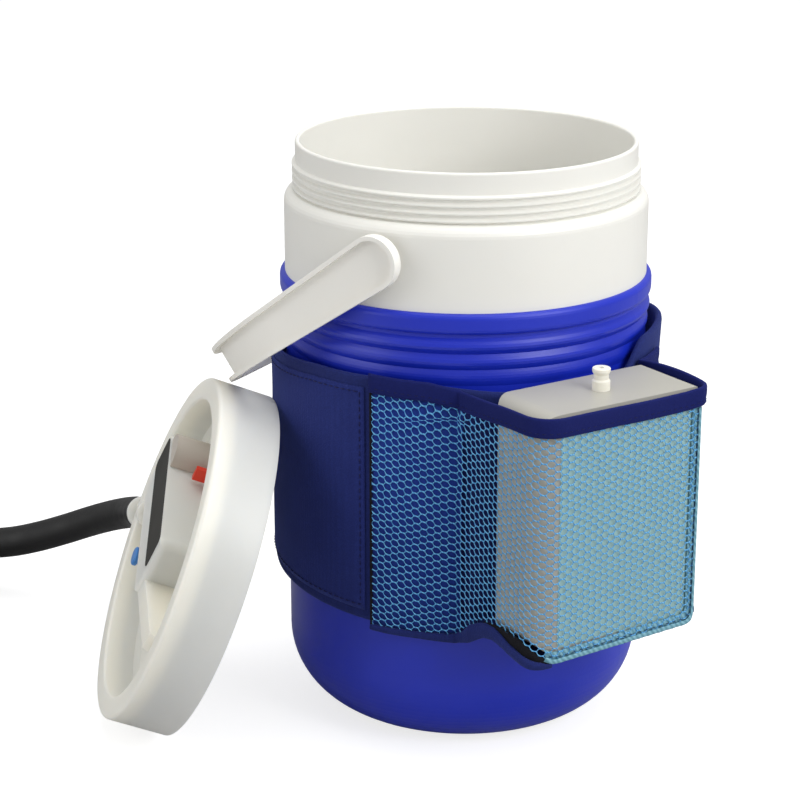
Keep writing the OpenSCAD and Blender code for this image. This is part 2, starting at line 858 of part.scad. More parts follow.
// Least gap of the coil to itself, between points more than a quarter turn apart
coil_gap = min([for (i = [0 : coil_steps - 6], j = [i + 6 : coil_steps]) norm(spiral[i] - spiral[j])]) - hose_d;
echo(coil_gap = coil_gap);
echo(hose_length = path_length(run_path) + path_length(coil_path));

module hose_run() {
    color(black)
        tube(run_path, hose_r, 10);
}

module hose_coil() {
    color(black)
        tube(coil_path, hose_r, 6);
}

module hose_tie() {
    // A strap round the upper and the lower strand
    mid_r = (coil_radius(tie_turn) + coil_radius(tie_turn + 1)) / 2;
    w = hose_d + coil_radius(tie_turn + 1) - coil_radius(tie_turn) + 0.6;
    h = hose_d + coil_layer + 0.3;
    color("#2b2c30")
        translate([coil_x, coil_y, 0])
            rotate([0, 0, coil_entry + 360 * tie_turn])
                translate([mid_r - w / 2, tie_w / 2, coil_z - hose_r - 0.15])
                    rotate([90, 0, 0])
                        difference() {
                            translate([-tie_t, -tie_t])
                                linear_extrude(height = tie_w)
                                    soft_rect(w + 2 * tie_t, h + 2 * tie_t, 7);
                            translate([0, 0, -1])
                                linear_extrude(height = tie_w + 2)
                                    soft_rect(w, h, 6.3);
                        }
}

module coupling_frame() {
    translate(hose_end)
        rotate([0, 0, atan2(end_way[1], end_way[0])])
            rotate([0, 90, 0])
                children();
}

module coupling_cuff() {
    color("#26272b")
        coupling_frame()
            cylinder(r = hose_r, h = cuff_l);
}

module coupling_body() {
    color("#9a9c9e")
        coupling_frame()
            translate([0, 0, cuff_l])
                difference() {
                    cylinder(r = coupling_r, h = coupling_l);
                    translate([-coupling_r - 1, -latch_w / 2 - run_gap * 3, coupling_l / 2 - latch_l / 2 - run_gap * 3])
                        cube([6.5, latch_w + run_gap * 6, latch_l + run_gap * 6]);
                }
}

module coupling_latch() {
    color(steel)
        coupling_frame()
            translate([-coupling_r - 1, -latch_w / 2, cuff_l + coupling_l / 2 - latch_l / 2])
                cube([6.5 - latch_travel - rest_gap, latch_w, latch_l]);
}

module coupling_spigot() {
    color("#9a9c9e")
        coupling_frame()
            translate([0, 0, cuff_l + coupling_l])
                rotate_extrude()
                    polygon([[2.5, 0], [spigot_r, 0], [spigot_r, 5], [spigot_r - ring_r, 5],
                        [spigot_r - ring_r, 5 + 2 * ring_r + 0.4], [spigot_r, 5 + 2 * ring_r + 0.4],
                        [spigot_r, spigot_l - 2], [spigot_r - 1.5, spigot_l], [2.5, spigot_l]]);
}

module coupling_ring() {
    color("#151515")
        coupling_frame()
            translate([0, 0, cuff_l + coupling_l + 5 + ring_r + 0.2])
                rotate_extrude()
                    translate([spigot_r + 0.2, 0])
                        circle(r = ring_r, $fn = 24);
}

// ---- air pump in the pocket ----

module pump_frame() {
    pump_side()
        translate([pump_shift, pump_y, pump_z])
            children();
}

// A rectangle about x = 0 with its own corner radii on the left and right
module end_rect(w, h, left, right) {
    union() {
        translate([-w / 2 + left, 0])
            square([w - left - right, h]);
        translate([-w / 2, left])
            square([w / 2, h - 2 * left]);
        translate([0, right])
            square([w / 2, h - 2 * right]);
        for (y = [left, h - left])
            translate([left - w / 2, y])
                circle(r = left);
        for (y = [right, h - right])
            translate([w / 2 - right, y])
                circle(r = right);
    }
}

// The case's outer form, drawn in by an inset
module pump_form(inset) {
    w = pump_w - 2 * inset;
    d = pump_d - 2 * inset;
    h = pump_h - 2 * inset;
    translate([0, 0, inset])
        intersection() {
            translate([0, -d / 2, 0])
                linear_extrude(height = h)
                    end_rect(w, d, case_round - inset, case_edge - inset / 2);
            translate([0, d / 2, 0])
                rotate([90, 0, 0])
                    linear_extrude(height = d)
                        end_rect(w, h, case_round - inset, case_edge - inset / 2);
        }
}

function screw_places() = [for (x = [-1, 1], z = [0, 1])
    [x * (pump_w / 2 - case_wall - screw_in), 0, z * (pump_h - 4 * screw_in) + 2 * screw_in]];

module pump_case() {
    color(beige)
        pump_frame()
            difference() {
                union() {
                    difference() {
                        pump_form(0);
                        pump_form(case_wall);
                    }
                    for (p = screw_places())
                        translate([p[0], cover_y, p[2]])
                            rotate([90, 0, 0])
                                cylinder(r = boss_out, h = pump_d - cover_t - 1);
                }
                translate([-pump_w, cover_y, -1])
                    cube([2 * pump_w, pump_d, pump_h + 2]);
                for (p = screw_places())
                    translate([p[0], cover_y + 1, p[2]])
                        rotate([90, 0, 0])
                            cylinder(r = screw_r + run_gap, h = 13);
                translate([outlet_shift, 0, pump_h - case_wall - 1])
                    cylinder(r = outlet_stem_r + run_gap, h = case_wall + 2);
                translate([pump_w / 2 - case_wall - 1, -inlet_w / 2, inlet_z])
                    cube([case_wall + 2, inlet_w, inlet_w]);
            }
}

module pump_cover() {
    color(beige)
        pump_frame()
            difference() {
                intersection() {
                    pump_form(0);
                    translate([-pump_w, cover_y, -1])
                        cube([2 * pump_w, pump_d, pump_h + 2]);
                }
                for (p = screw_places())
                    translate([p[0], cover_y + cover_t + 1, p[2]])
                        rotate([90, 0, 0]) {
                            cylinder(r = screw_r + 0.2, h = cover_t + 2);
                            cylinder(r = screw_r * 2 + 0.3, h = 2.2);
                        }
            }
}

module pump_screw(i) {
    p = screw_places()[i];
    color(steel)
        pump_frame()
            translate([p[0], cover_y + cover_t - 0.2, p[2]])
                rotate([90, 0, 0])
                    difference() {
                        union() {
                            cylinder(r = screw_r * 2, h = 1);
                            cylinder(r = screw_r, h = 12);
                        }
                        for (a = [0, 90])
                            rotate([0, 0, a])
                                translate([-1.6, -0.35, -1])
                                    cube([3.2, 0.7, 1.6]);
                    }
}

module pump_label() {
    color("#eef0ee")
        pump_frame()
            translate([case_round - pump_w / 2 + 1, -pump_d / 2, 8])
                rotate([90, 0, 0])
                    linear_extrude(height = label_t)
                        soft_rect(pump_w - case_round - case_edge - 2, pump_h - 22, 2);
}

module pump_outlet() {
    color("#f2f2ee")
        pump_frame()
            translate([outlet_shift, 0, pump_h])
                difference() {
                    rotate_extrude()
                        polygon([[0, -case_wall], [outlet_stem_r, -case_wall], [outlet_stem_r, 0], [outlet_r, 0],
                            [outlet_r, outlet_h * 0.42], [outlet_waist_r, outlet_h * 0.5],
                            [outlet_waist_r, outlet_h * 0.7], [outlet_r, outlet_h * 0.84],
                            [outlet_r, outlet_h - 0.4], [outlet_r - 0.4, outlet_h], [0, outlet_h]]);
                    translate([0, 0, -case_wall - 1])
                        cylinder(r = outlet_stem_r / 2, h = outlet_h + case_wall + 2);
                }
}

// The motor lies across the case on a cradle, and its shaft drives the diaphragm head
motor_l = 34;
motor_x = 6;
motor_z = 42;
shaft_r = 1.5;
rotor_r = 7;

module pump_motor() {
    cradle = pump_d / 2 - case_wall;
    color(steel)
        pump_frame()
            difference() {
                union() {
                    translate([motor_x, 0, motor_z])
                        rotate([0, 90, 0])
                            cylinder(r = motor_r, h = motor_l);
                    translate([motor_x + 4, -cradle, motor_z - motor_r - 2])
                        cube([motor_l - 8, 2 * cradle - cover_t, 5]);
                    translate([motor_x + 4, -cradle, motor_z - motor_r - 2])
                        cube([motor_l - 8, 5, motor_r]);
                }
                translate([motor_x - 1, 0, motor_z])
                    rotate([0, 90, 0])
                        cylinder(r = shaft_r + run_gap, h = 13);
            }
}

module pump_rotor() {
    color("#c8a050")
        pump_frame()
            translate([motor_x - 10, 0, motor_z])
                rotate([0, 90, 0]) {
                    cylinder(r = shaft_r, h = 20);
                    translate([1.5, 0, 0])
                        cylinder(r = rotor_r, h = 8);
                }
}

module pump_head() {
    color("#34363a")
        pump_frame()
            translate([motor_x - 10 - 22, -12, motor_z - 16])
                difference() {
                    union() {
                        cube([20, 24, 46]);
                        translate([2, 12 - pump_d / 2 + case_wall, 4])
                            cube([16, 22, 10]);
                        translate([10, 12, 46])
                            cylinder(r = 3, h = 10);
                    }
                    translate([10, 12, 50])
                        cylinder(r = 1.5, h = 10);
                }
}

module pump_board() {
    color("#2f6b46")
        pump_frame() {
            translate([-4, cover_y - 3.2, 66])
                cube([32, 1.6, 42]);
            for (x = [2, 22])
                translate([x, cover_y - 1.6, 72])
                    rotate([-90, 0, 0])
                        cylinder(r = 2, h = 1.3);
        }
}

module power_inlet() {
    color(black)
        pump_frame()
            translate([pump_w / 2 - 12, 0.2 - inlet_w / 2, inlet_z + 0.2])
                difference() {
                    cube([12.2, inlet_w - 0.4, inlet_w - 0.4]);
                    translate([3, inlet_w / 2 - 0.2, inlet_w / 2 - 0.2])
                        rotate([0, 90, 0])
                            cylinder(r = 3.2, h = 12);
                }
}

module pump_foot(i) {
    end = i < 2 ? -1 : 1;
    side = i % 2 == 0 ? -1 : 1;
    color(black)
        pump_frame()
            translate([end * (pump_w / 2 - case_round - 7), side * (pump_d / 2 - case_edge - 7), -pump_foot_h])
                cylinder(r = 5, h = pump_foot_h);
}

foot_pad();
jacket();
insulation();
tank();
sleeve();
sleeve_panel();
pocket_net();
pocket_tape();
pocket_seam();
bail();
lid_shell();
lid_liner();
lid_foam();
lid_gasket();
lid_label();
lid_boss();
vent_cap();
plug_tab();
pickup_nipple();
hose_gland();
hose_locknut();
hose_run();
hose_coil();
hose_tie();
coupling_cuff();
coupling_body();
coupling_ring();
coupling_spigot();
coupling_latch();
pump_case();
pump_cover();
pump_label();
pump_outlet();
pump_motor();
pump_rotor();
pump_head();
pump_board();
power_inlet();
pump_screw(0);  // pump_screw_1
pump_screw(1);  // pump_screw_2
pump_screw(2);  // pump_screw_3
pump_screw(3);  // pump_screw_4
pump_foot(0);  // pump_foot_1
pump_foot(1);  // pump_foot_2
pump_foot(2);  // pump_foot_3
pump_foot(3);  // pump_foot_4
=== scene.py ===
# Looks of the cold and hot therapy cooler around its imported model.
# Metres, +Z up, origin under the middle of the jug's foot. Lengths in the dictionaries are in millimetres.
import math

import bmesh
import bpy
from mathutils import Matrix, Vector, noise


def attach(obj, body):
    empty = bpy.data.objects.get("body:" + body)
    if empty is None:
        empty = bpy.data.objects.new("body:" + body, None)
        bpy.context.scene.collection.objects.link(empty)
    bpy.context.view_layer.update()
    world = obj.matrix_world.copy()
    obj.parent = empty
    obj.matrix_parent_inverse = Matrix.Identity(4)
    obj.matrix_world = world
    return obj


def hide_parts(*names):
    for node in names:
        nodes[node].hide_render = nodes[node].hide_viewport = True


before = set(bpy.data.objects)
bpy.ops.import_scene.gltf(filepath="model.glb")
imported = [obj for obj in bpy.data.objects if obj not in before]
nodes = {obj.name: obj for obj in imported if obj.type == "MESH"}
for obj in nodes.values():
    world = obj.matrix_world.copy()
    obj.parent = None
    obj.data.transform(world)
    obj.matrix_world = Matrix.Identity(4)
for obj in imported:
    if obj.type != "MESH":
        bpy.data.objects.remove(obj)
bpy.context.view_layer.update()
print("frame loaded:", len(nodes), "nodes")


# The camera that the photograph was taken with, the light and the floor

view = {"place": (0.526, -1.0786, 0.5569), "tilt": 72.16, "turn": 27.68, "lens": 103.2}

cameraData = bpy.data.cameras.new("camera")
cameraData.lens = view["lens"]
cameraData.sensor_width = 36
cameraData.clip_end = 50
camera = bpy.data.objects.new("camera", cameraData)
camera.location = view["place"]
camera.rotation_euler = (math.radians(view["tilt"]), 0, math.radians(view["turn"]))
bpy.context.scene.collection.objects.link(camera)
bpy.context.scene.camera = camera
bpy.context.scene.view_settings.view_transform = "Standard"


def addNode(tree, kind, settings=None, links=None):
    # settings are sockets by name or number, or the node's own properties; links bring outputs to sockets
    node = tree.nodes.new(kind)
    for key, value in (settings or {}).items():
        if isinstance(key, int) or key in node.inputs:
            node.inputs[key].default_value = value
        else:
            setattr(node, key, value)
    for key, output in (links or {}).items():
        tree.links.new(output, node.inputs[key])
    return node


def fromHex(text):
    # sRGB hex to the linear colour that Blender's sockets take
    parts = [int(text[i:i + 2], 16) / 255 for i in (1, 3, 5)]
    return tuple(p / 12.92 if p <= 0.04045 else ((p + 0.055) / 1.055) ** 2.4 for p in parts) + (1,)


def linkObject(name, data):
    made = bpy.data.objects.new(name, data)
    bpy.context.scene.collection.objects.link(made)
    return made


# Light from all round, the paper's own shade, what the camera sees on top of it, and the floor's reach
studio = {"sky": 0.46, "backdrop": 1.0, "paper": 0.5, "lift": 0.76, "reach": 9, "under": 0.0004,
          "aim": (0, 0, 0.15)}

# Lamps: a big soft key from the right, a weak fill from the left and one from above
lamps = [
    {"name": "key", "place": (1.5, -0.35, 1.1), "size": 1.0, "watts": 18},
    {"name": "fill", "place": (-1.3, -1.4, 0.8), "size": 1.4, "watts": 10},
    {"name": "top", "place": (0.1, 0.1, 1.7), "size": 1.2, "watts": 14},
]
for lamp in lamps:
    lampData = bpy.data.lights.new(lamp["name"], "AREA")
    lampData.size = lamp["size"]
    lampData.energy = lamp["watts"]
    lampObject = linkObject(lamp["name"], lampData)
    lampObject.location = lamp["place"]
    aim = Vector(studio["aim"]) - Vector(lamp["place"])
    lampObject.rotation_euler = aim.to_track_quat("-Z", "Y").to_euler()


def cameraRays(tree):
    # one where the camera looks, straight or through something clear, and nothing for other rays
    ray = addNode(tree, "ShaderNodeLightPath")
    return addNode(tree, "ShaderNodeMath", {"operation": "MAXIMUM"},
                   {0: ray.outputs["Is Camera Ray"], 1: ray.outputs["Is Transmission Ray"]}).outputs[0]


world = bpy.data.worlds.new("studio")
bpy.context.scene.world = world
world.use_nodes = True
worldTree = world.node_tree
worldTree.nodes.clear()
plain = addNode(worldTree, "ShaderNodeBackground", {"Color": (1, 1, 1, 1), "Strength": studio["sky"]})
bright = addNode(worldTree, "ShaderNodeBackground", {"Color": (1, 1, 1, 1), "Strength": studio["backdrop"]})
mixed = addNode(worldTree, "ShaderNodeMixShader", None,
                {0: cameraRays(worldTree), 1: plain.outputs[0], 2: bright.outputs[0]})
addNode(worldTree, "ShaderNodeOutputWorld", None, {0: mixed.outputs[0]})

floorMesh = bpy.data.meshes.new("studioFloor")
floorCorners = [(studio["reach"] * x, studio["reach"] * y, 0) for x, y in ((-1, -1), (1, -1), (1, 1), (-1, 1))]
floorMesh.from_pydata(floorCorners, [], [(0, 1, 2, 3)])
floor = linkObject("studioFloor", floorMesh)
floor.location.z = -studio["under"]
floorMaterial = bpy.data.materials.new("floorPaper")
floorMaterial.use_nodes = True
floorTree = floorMaterial.node_tree
floorTree.nodes.clear()
lift = addNode(floorTree, "ShaderNodeMath", {"operation": "MULTIPLY", 1: studio["lift"]},
               {0: cameraRays(floorTree)})
paper = addNode(floorTree, "ShaderNodeBsdfDiffuse", {"Color": (studio["paper"],) * 3 + (1,)})
glow = addNode(floorTree, "ShaderNodeEmission", {"Color": (1, 1, 1, 1)}, {"Strength": lift.outputs[0]})
both = addNode(floorTree, "ShaderNodeAddShader", None, {0: paper.outputs[0], 1: glow.outputs[0]})
addNode(floorTree, "ShaderNodeOutputMaterial", None, {0: both.outputs[0]})
floorMesh.materials.append(floorMaterial)
print("camera, lamps and floor set")


# Materials: one function for each way of making, then one dictionary for each finish

def startMaterial(name):
    # a principled shader with the object's own metres as its coordinates
    material = bpy.data.materials.new(name)
    material.use_nodes = True
    tree = material.node_tree
    shader = tree.nodes["Principled BSDF"]
    place = addNode(tree, "ShaderNodeTexCoord").outputs["Object"]
    return material, tree, shader, place


def cloudsOf(tree, place, mm, detail, rough=0.5):
    # a noise whose features are about the given millimetres across
    return addNode(tree, "ShaderNodeTexNoise", {"Scale": 1000 / mm, "Detail": detail, "Roughness": rough},
                   {"Vector": place}).outputs[0]


def tintBy(tree, shader, texture, base, pale):
    tint = addNode(tree, "ShaderNodeMix", {"data_type": "RGBA", 6: base, 7: pale}, {0: texture})
    tree.links.new(tint.outputs[2], shader.inputs["Base Color"])


def roughBy(tree, shader, texture, span, rough):
    # the texture's span of values becomes the span of roughness
    made = addNode(tree, "ShaderNodeMapRange", {1: span[0], 2: span[1], 3: rough[0], 4: rough[1]}, {0: texture})
    tree.links.new(made.outputs[0], shader.inputs["Roughness"])


def bumpBy(tree, shader, texture, strength, mm):
    bump = addNode(tree, "ShaderNodeBump", {"Strength": strength, "Distance": mm / 1000}, {"Height": texture})
    tree.links.new(bump.outputs[0], shader.inputs["Normal"])
    return bump


def setSockets(shader, values):
    for name, value in values.items():
        shader.inputs[name].default_value = value


def mouldedPlastic(look):
    # moulded plastic: even colour, slow flow clouds, fine grain in the gloss, faint scuffs
    material, tree, shader, place = startMaterial(look["name"])
    base, amount = fromHex(look["hex"])[:3], look.get("clouds", 0.06)
    darker = tuple(c * (1 - amount) for c in base) + (1,)
    lighter = tuple(min(1, c * (1 + amount)) for c in base) + (1,)
    tintBy(tree, shader, cloudsOf(tree, place, 45, 3), darker, lighter)
    roughBy(tree, shader, cloudsOf(tree, place, 30, 3), (0.2, 0.8), look["rough"])
    bumpBy(tree, shader, cloudsOf(tree, place, look.get("grainMm", 0.8), 2), 0.6, look.get("depthMm", 0.05))
    setSockets(shader, {"IOR": look.get("ior", 1.49), "Subsurface Weight": look.get("soft", 0),
                        "Subsurface Radius": (1, 0.9, 0.8), "Subsurface Scale": look.get("softMm", 2) / 1000})
    return material


def knitNeoprene(look):
    # nylon knit laminated on neoprene: fine courses, a soft sheen at the edges and slow shade changes
    material, tree, shader, place = startMaterial(look["name"])
    knit = addNode(tree, "ShaderNodeTexVoronoi", {"Scale": 1000 / look["stitchMm"], "Randomness": 0.45},
                   {"Vector": place}).outputs["Distance"]
    mottle = addNode(tree, "ShaderNodeMath", {"operation": "MULTIPLY"},
                     {0: cloudsOf(tree, place, 30, 5), 1: knit})
    tintBy(tree, shader, mottle.outputs[0], fromHex(look["hex"]), fromHex(look["paleHex"]))
    fine = addNode(tree, "ShaderNodeBump", {"Strength": 0.8, "Distance": look["depthMm"] / 1000},
                   {"Height": knit})
    lint = bumpBy(tree, shader, cloudsOf(tree, place, 2.2, 6, 0.7), 0.6, 0.3)
    tree.links.new(fine.outputs[0], lint.inputs["Normal"])
    setSockets(shader, {"Roughness": 0.86, "Specular IOR Level": 0.25, "Sheen Weight": look["sheen"],
                        "Sheen Roughness": 0.45, "Sheen Tint": fromHex(look["sheenHex"])})
    return material


def brushedTape(look):
    # brushed nylon binding: short nap that lies in streaks and catches light
    material, tree, shader, place = startMaterial(look["name"])
    nap = cloudsOf(tree, place, look["napMm"], 6, 0.75)
    tintBy(tree, shader, nap, fromHex(look["hex"]), fromHex(look["paleHex"]))
    bumpBy(tree, shader, nap, 1.0, look["depthMm"])
    setSockets(shader, {"Roughness": 0.9, "Specular IOR Level": 0.2, "Sheen Weight": look["sheen"],
                        "Sheen Roughness": 0.3, "Sheen Tint": fromHex(look["sheenHex"])})
    return material


def twistedYarn(look):
    # polyester yarn: a fine twist along every strand and a slight lustre
    material, tree, shader, place = startMaterial(look["name"])
    twist = addNode(tree, "ShaderNodeTexWave", {"Scale": 1000 / look["twistMm"] / 6.28, "Distortion": 3,
                                                "bands_direction": "DIAGONAL"}, {"Vector": place}).outputs[1]
    tintBy(tree, shader, twist, fromHex(look["hex"]), fromHex(look["paleHex"]))
    bumpBy(tree, shader, twist, 0.6, 0.08)
    setSockets(shader, {"Roughness": look["rough"], "Specular IOR Level": 0.25})
    return material


def foamSkin(look):
    # closed-cell rubber foam: matt skin with small pores, paler where it has been rubbed
    material, tree, shader, place = startMaterial(look["name"])
    pores = addNode(tree, "ShaderNodeTexVoronoi", {"Scale": 1000 / look["poreMm"]}, {"Vector": place})
    rub = cloudsOf(tree, place, 18, 5)
    tintBy(tree, shader, rub, fromHex(look["hex"]), fromHex(look["paleHex"]))
    roughBy(tree, shader, rub, (0.3, 0.7), look["rough"])
    bumpBy(tree, shader, pores.outputs["Distance"], 0.5, look["depthMm"])
    return material


def turnedMetal(look):
    # metal with fine lathe or roller lines that stretch its highlights
    material, tree, shader, place = startMaterial(look["name"])
    squeeze = addNode(tree, "ShaderNodeMapping", {"Scale": (1, 1, 14)}, {"Vector": place})
    lines = cloudsOf(tree, squeeze.outputs[0], 3, 6)
    roughBy(tree, shader, lines, (0.3, 0.7), look["rough"])
    tintBy(tree, shader, lines, fromHex(look["hex"]), fromHex(look["paleHex"]))
    bumpBy(tree, shader, lines, 0.3, 0.05)
    setSockets(shader, {"Metallic": 1.0})
    return material


# Polyethylene, blow moulded: waxy, saturated blue with a broad soft highlight
jacketPlastic = mouldedPlastic({"name": "polyethyleneMouldedBlue", "hex": "#132bbd", "rough": (0.34, 0.42),
                                "ior": 1.51, "grainMm": 1.6, "depthMm": 0.07, "clouds": 0.1, "soft": 0.08})
# Polypropylene, injection moulded: clean warm white, smooth, light goes a little way in
neckPlastic = mouldedPlastic({"name": "polypropyleneMouldedWhite", "hex": "#edece6", "rough": (0.42, 0.5),
                              "clouds": 0.02, "grainMm": 1.2, "depthMm": 0.02, "soft": 0.12})
# The same plastic in the handle: thicker, a shade drier in its gloss
handlePlastic = mouldedPlastic({"name": "polypropyleneHandleWhite", "hex": "#f4f2ec", "rough": (0.42, 0.5),
                                "clouds": 0.03, "grainMm": 1.0, "depthMm": 0.03, "soft": 0.1})
# Natural polypropylene lid: milky, lets light into its thin walls
lidPlastic = mouldedPlastic({"name": "polypropyleneNaturalMilky", "hex": "#efece1", "rough": (0.34, 0.42),
                             "clouds": 0.02, "grainMm": 1.5, "depthMm": 0.02, "soft": 0.7,
                             "softMm": 14})
# ABS with a fine spark texture: satin beige-grey
casePlastic = mouldedPlastic({"name": "absSparkTexturedBeige", "hex": "#aeaca2", "rough": (0.4, 0.52),
                              "ior": 1.53, "clouds": 0.03, "grainMm": 0.5, "depthMm": 0.04})
# Nylon, injection moulded: ivory, a little see-through at its edges
fittingPlastic = mouldedPlastic({"name": "nylonFittingIvory", "hex": "#efece0", "rough": (0.34, 0.46),
                                 "soft": 0.2, "clouds": 0.03, "grainMm": 0.7})
# Polypropylene, moulded and dyed through: clear blue and red with a soft shine
capPlastic = mouldedPlastic({"name": "polypropyleneCapBlue", "hex": "#3f80c8", "rough": (0.34, 0.46),
                             "clouds": 0.06, "grainMm": 0.7})
tabPlastic = mouldedPlastic({"name": "polypropyleneTabRed", "hex": "#d8351c", "rough": (0.36, 0.5),
                             "clouds": 0.06, "grainMm": 0.7})
# Thermoplastic elastomer, overmoulded: dull warm grey that holds no highlight
bossRubber = mouldedPlastic({"name": "thermoplasticElastomerGrey", "hex": "#b9b1a8", "rough": (0.5, 0.66),
                             "clouds": 0.06, "grainMm": 0.6, "depthMm": 0.06})
# Vinyl label film, laminated matt: an even dark and an even pale face with no printing
darkFilm = mouldedPlastic({"name": "vinylFilmDark", "hex": "#211f1a", "rough": (0.6, 0.7), "clouds": 0.08,
                           "grainMm": 0.5, "depthMm": 0.015})
# The pale film's colour is darkened and tinted teal: painted shadow of the net lying over it
paleFilmNetShadow = mouldedPlastic({"name": "vinylFilmPaleNetShadow", "hex": "#9dc0bd", "rough": (0.4, 0.52), "clouds": 0.02,
                           "grainMm": 0.6, "depthMm": 0.015})
# Nitrile and thermoplastic rubber, pressed: matt, dusty where it has been handled
blackRubber = mouldedPlastic({"name": "nitrileRubberBlack", "hex": "#232427", "rough": (0.55, 0.72),
                              "ior": 1.52, "clouds": 0.15, "grainMm": 0.6, "depthMm": 0.08})
footRubber = mouldedPlastic({"name": "thermoplasticRubberSlate", "hex": "#46485a", "rough": (0.55, 0.7),
                             "clouds": 0.12, "grainMm": 0.8, "depthMm": 0.08})
# Acetal, turned from bar: close grey with a slight silk shine
couplingPlastic = mouldedPlastic({"name": "acetalMachinedGrey", "hex": "#96989a", "rough": (0.32, 0.46),
                                  "clouds": 0.05, "grainMm": 0.5, "depthMm": 0.03})
# Nylon with glass fibre, moulded: dark and slightly mottled by the fibre
blackNylon = mouldedPlastic({"name": "glassFilledNylonBlack", "hex": "#2b2d31", "rough": (0.46, 0.62),
                             "clouds": 0.12, "grainMm": 0.4, "depthMm": 0.06})
# Circuit laminate under solder mask: smooth green lacquer
boardLaminate = mouldedPlastic({"name": "solderMaskGreen", "hex": "#2c6a44", "rough": (0.28, 0.4),
                                "clouds": 0.1, "grainMm": 0.9, "depthMm": 0.03})
# Polyurethane, poured and risen: pale yellow with open pores
pourFoam = foamSkin({"name": "polyurethaneFoamPoured", "hex": "#dccf96", "paleHex": "#efe6bf", "poreMm": 1.1,
                     "depthMm": 0.3, "rough": (0.85, 0.95)})
# Nitrile foam, extruded: near black skin with pinholes, greyer where it is rubbed
hoseFoam = foamSkin({"name": "nitrileFoamExtruded", "hex": "#0a0a0b", "paleHex": "#151516", "poreMm": 0.9,
                     "depthMm": 0.16, "rough": (0.5, 0.7)})
# Neoprene with nylon knit laid on: deep navy, a soft bloom at grazing angles.
# The knit's real courses are 0.5 mm and are drawn at 0.9 mm, so that they show
sleeveNeoprene = knitNeoprene({"name": "neopreneNylonKnitNavy", "hex": "#121b52", "paleHex": "#25357f",
                               "stitchMm": 0.9, "depthMm": 0.16, "sheen": 0.35, "sheenHex": "#5a6cc0"})
panelNeoprene = knitNeoprene({"name": "neopreneNylonKnitPanel", "hex": "#141e5c", "paleHex": "#2a3a88",
                              "stitchMm": 0.9, "depthMm": 0.18, "sheen": 0.4, "sheenHex": "#6678cc"})
# A brighter copy of the sleeve's knit, laid under the net: painted light where the sleeve there is lit
paintedLightKnit = knitNeoprene({"name": "nylonKnitPaintedLight", "hex": "#142a78", "paleHex": "#1e3f9c",
                           "stitchMm": 0.9, "depthMm": 0.16, "sheen": 0.1, "sheenHex": "#4a62b0"})
# Near-black neoprene used as painted shade: the strip where the hem folds in under the net, and the net's left
# seam in its shadow gap; almost no shine
shadeNeopreneBlack = knitNeoprene({"name": "neopreneBlackPaintedShade", "hex": "#07070c", "paleHex": "#15151f",
                            "stitchMm": 0.9, "depthMm": 0.16, "sheen": 0.05, "sheenHex": "#404050"})
# Nylon tape, woven and brushed: short nap that breaks the light into streaks
tapeNylon = brushedTape({"name": "nylonTapeBrushedRoyal", "hex": "#0d144a", "paleHex": "#18226a", "napMm": 1.1,
                         "depthMm": 0.35, "sheen": 0.25, "sheenHex": "#5a68d0"})
strapNylon = brushedTape({"name": "nylonStrapWovenBlack", "hex": "#1c1d20", "paleHex": "#34363b", "napMm": 0.8,
                          "depthMm": 0.25, "sheen": 0.2, "sheenHex": "#8a8c92"})
# Polyester yarn, warp knitted: each strand has a twist and a slight lustre
netYarn = twistedYarn({"name": "polyesterYarnSkyBlue", "hex": "#468ecf", "paleHex": "#74bde8", "twistMm": 0.5,
                       "rough": 0.5})
seamYarn = twistedYarn({"name": "polyesterYarnRolled", "hex": "#5b8c9c", "paleHex": "#83b2c2", "twistMm": 1.1,
                        "rough": 0.6})
darkThread = twistedYarn({"name": "polyesterThreadNavy", "hex": "#090d36", "paleHex": "#131958", "twistMm": 0.4,
                          "rough": 0.6})
# Steel, rolled, and brass, turned: fine lines stretch their highlights
drawnSteel = turnedMetal({"name": "steelRolled", "hex": "#b4b7bb", "paleHex": "#cccfd2", "rough": (0.26, 0.42)})
turnedBrass = turnedMetal({"name": "brassTurned", "hex": "#c69c4c", "paleHex": "#dab768", "rough": (0.2, 0.36)})

finishes = {
    "foot_pad": footRubber, "jacket": jacketPlastic, "insulation": pourFoam, "tank": neckPlastic,
    "bail": handlePlastic, "lid_shell": lidPlastic, "lid_liner": neckPlastic, "lid_foam": pourFoam,
    "lid_gasket": footRubber, "lid_label": darkFilm, "lid_boss": bossRubber, "vent_cap": capPlastic,
    "plug_tab": tabPlastic, "pickup_nipple": neckPlastic, "hose_gland": lidPlastic, "hose_locknut": lidPlastic,
    "coupling_cuff": blackRubber, "coupling_body": couplingPlastic, "coupling_ring": blackRubber,
    "coupling_spigot": couplingPlastic, "coupling_latch": drawnSteel, "pump_case": casePlastic,
    "pump_cover": casePlastic, "pump_label": paleFilmNetShadow, "pump_outlet": fittingPlastic, "pump_motor": drawnSteel,
    "pump_rotor": turnedBrass, "pump_head": blackNylon, "pump_board": boardLaminate, "power_inlet": blackNylon,
    "hose_run": hoseFoam, "hose_coil": hoseFoam, "hose_tie": strapNylon, "sleeve": sleeveNeoprene,
    "sleeve_panel": panelNeoprene, "pocket_net": netYarn, "pocket_tape": tapeNylon, "pocket_seam": netYarn,
}
for number in range(1, 5):
    finishes[f"pump_screw_{number}"] = drawnSteel
    finishes[f"pump_foot_{number}"] = blackRubber
for name, node in nodes.items():
    node.data.materials.clear()
    node.data.materials.append(finishes[name])
print("materials made:", len(finishes))


# Helpers for every mesh piece

def meshObject(name, points, faces, material, smooth=True):
    mesh = bpy.data.meshes.new(name)
    mesh.from_pydata([tuple(0.001 * c for c in p) for p in points], [], faces)
    mesh.materials.append(material)
    mesh.validate()
    made = linkObject(name, mesh)
    shape = bmesh.new()
    shape.from_mesh(mesh)
    bmesh.ops.recalc_face_normals(shape, faces=shape.faces)
    shape.to_mesh(mesh)
    shape.free()
    if smooth:
        mesh.polygons.foreach_set("use_smooth", [True] * len(mesh.polygons))
    return made


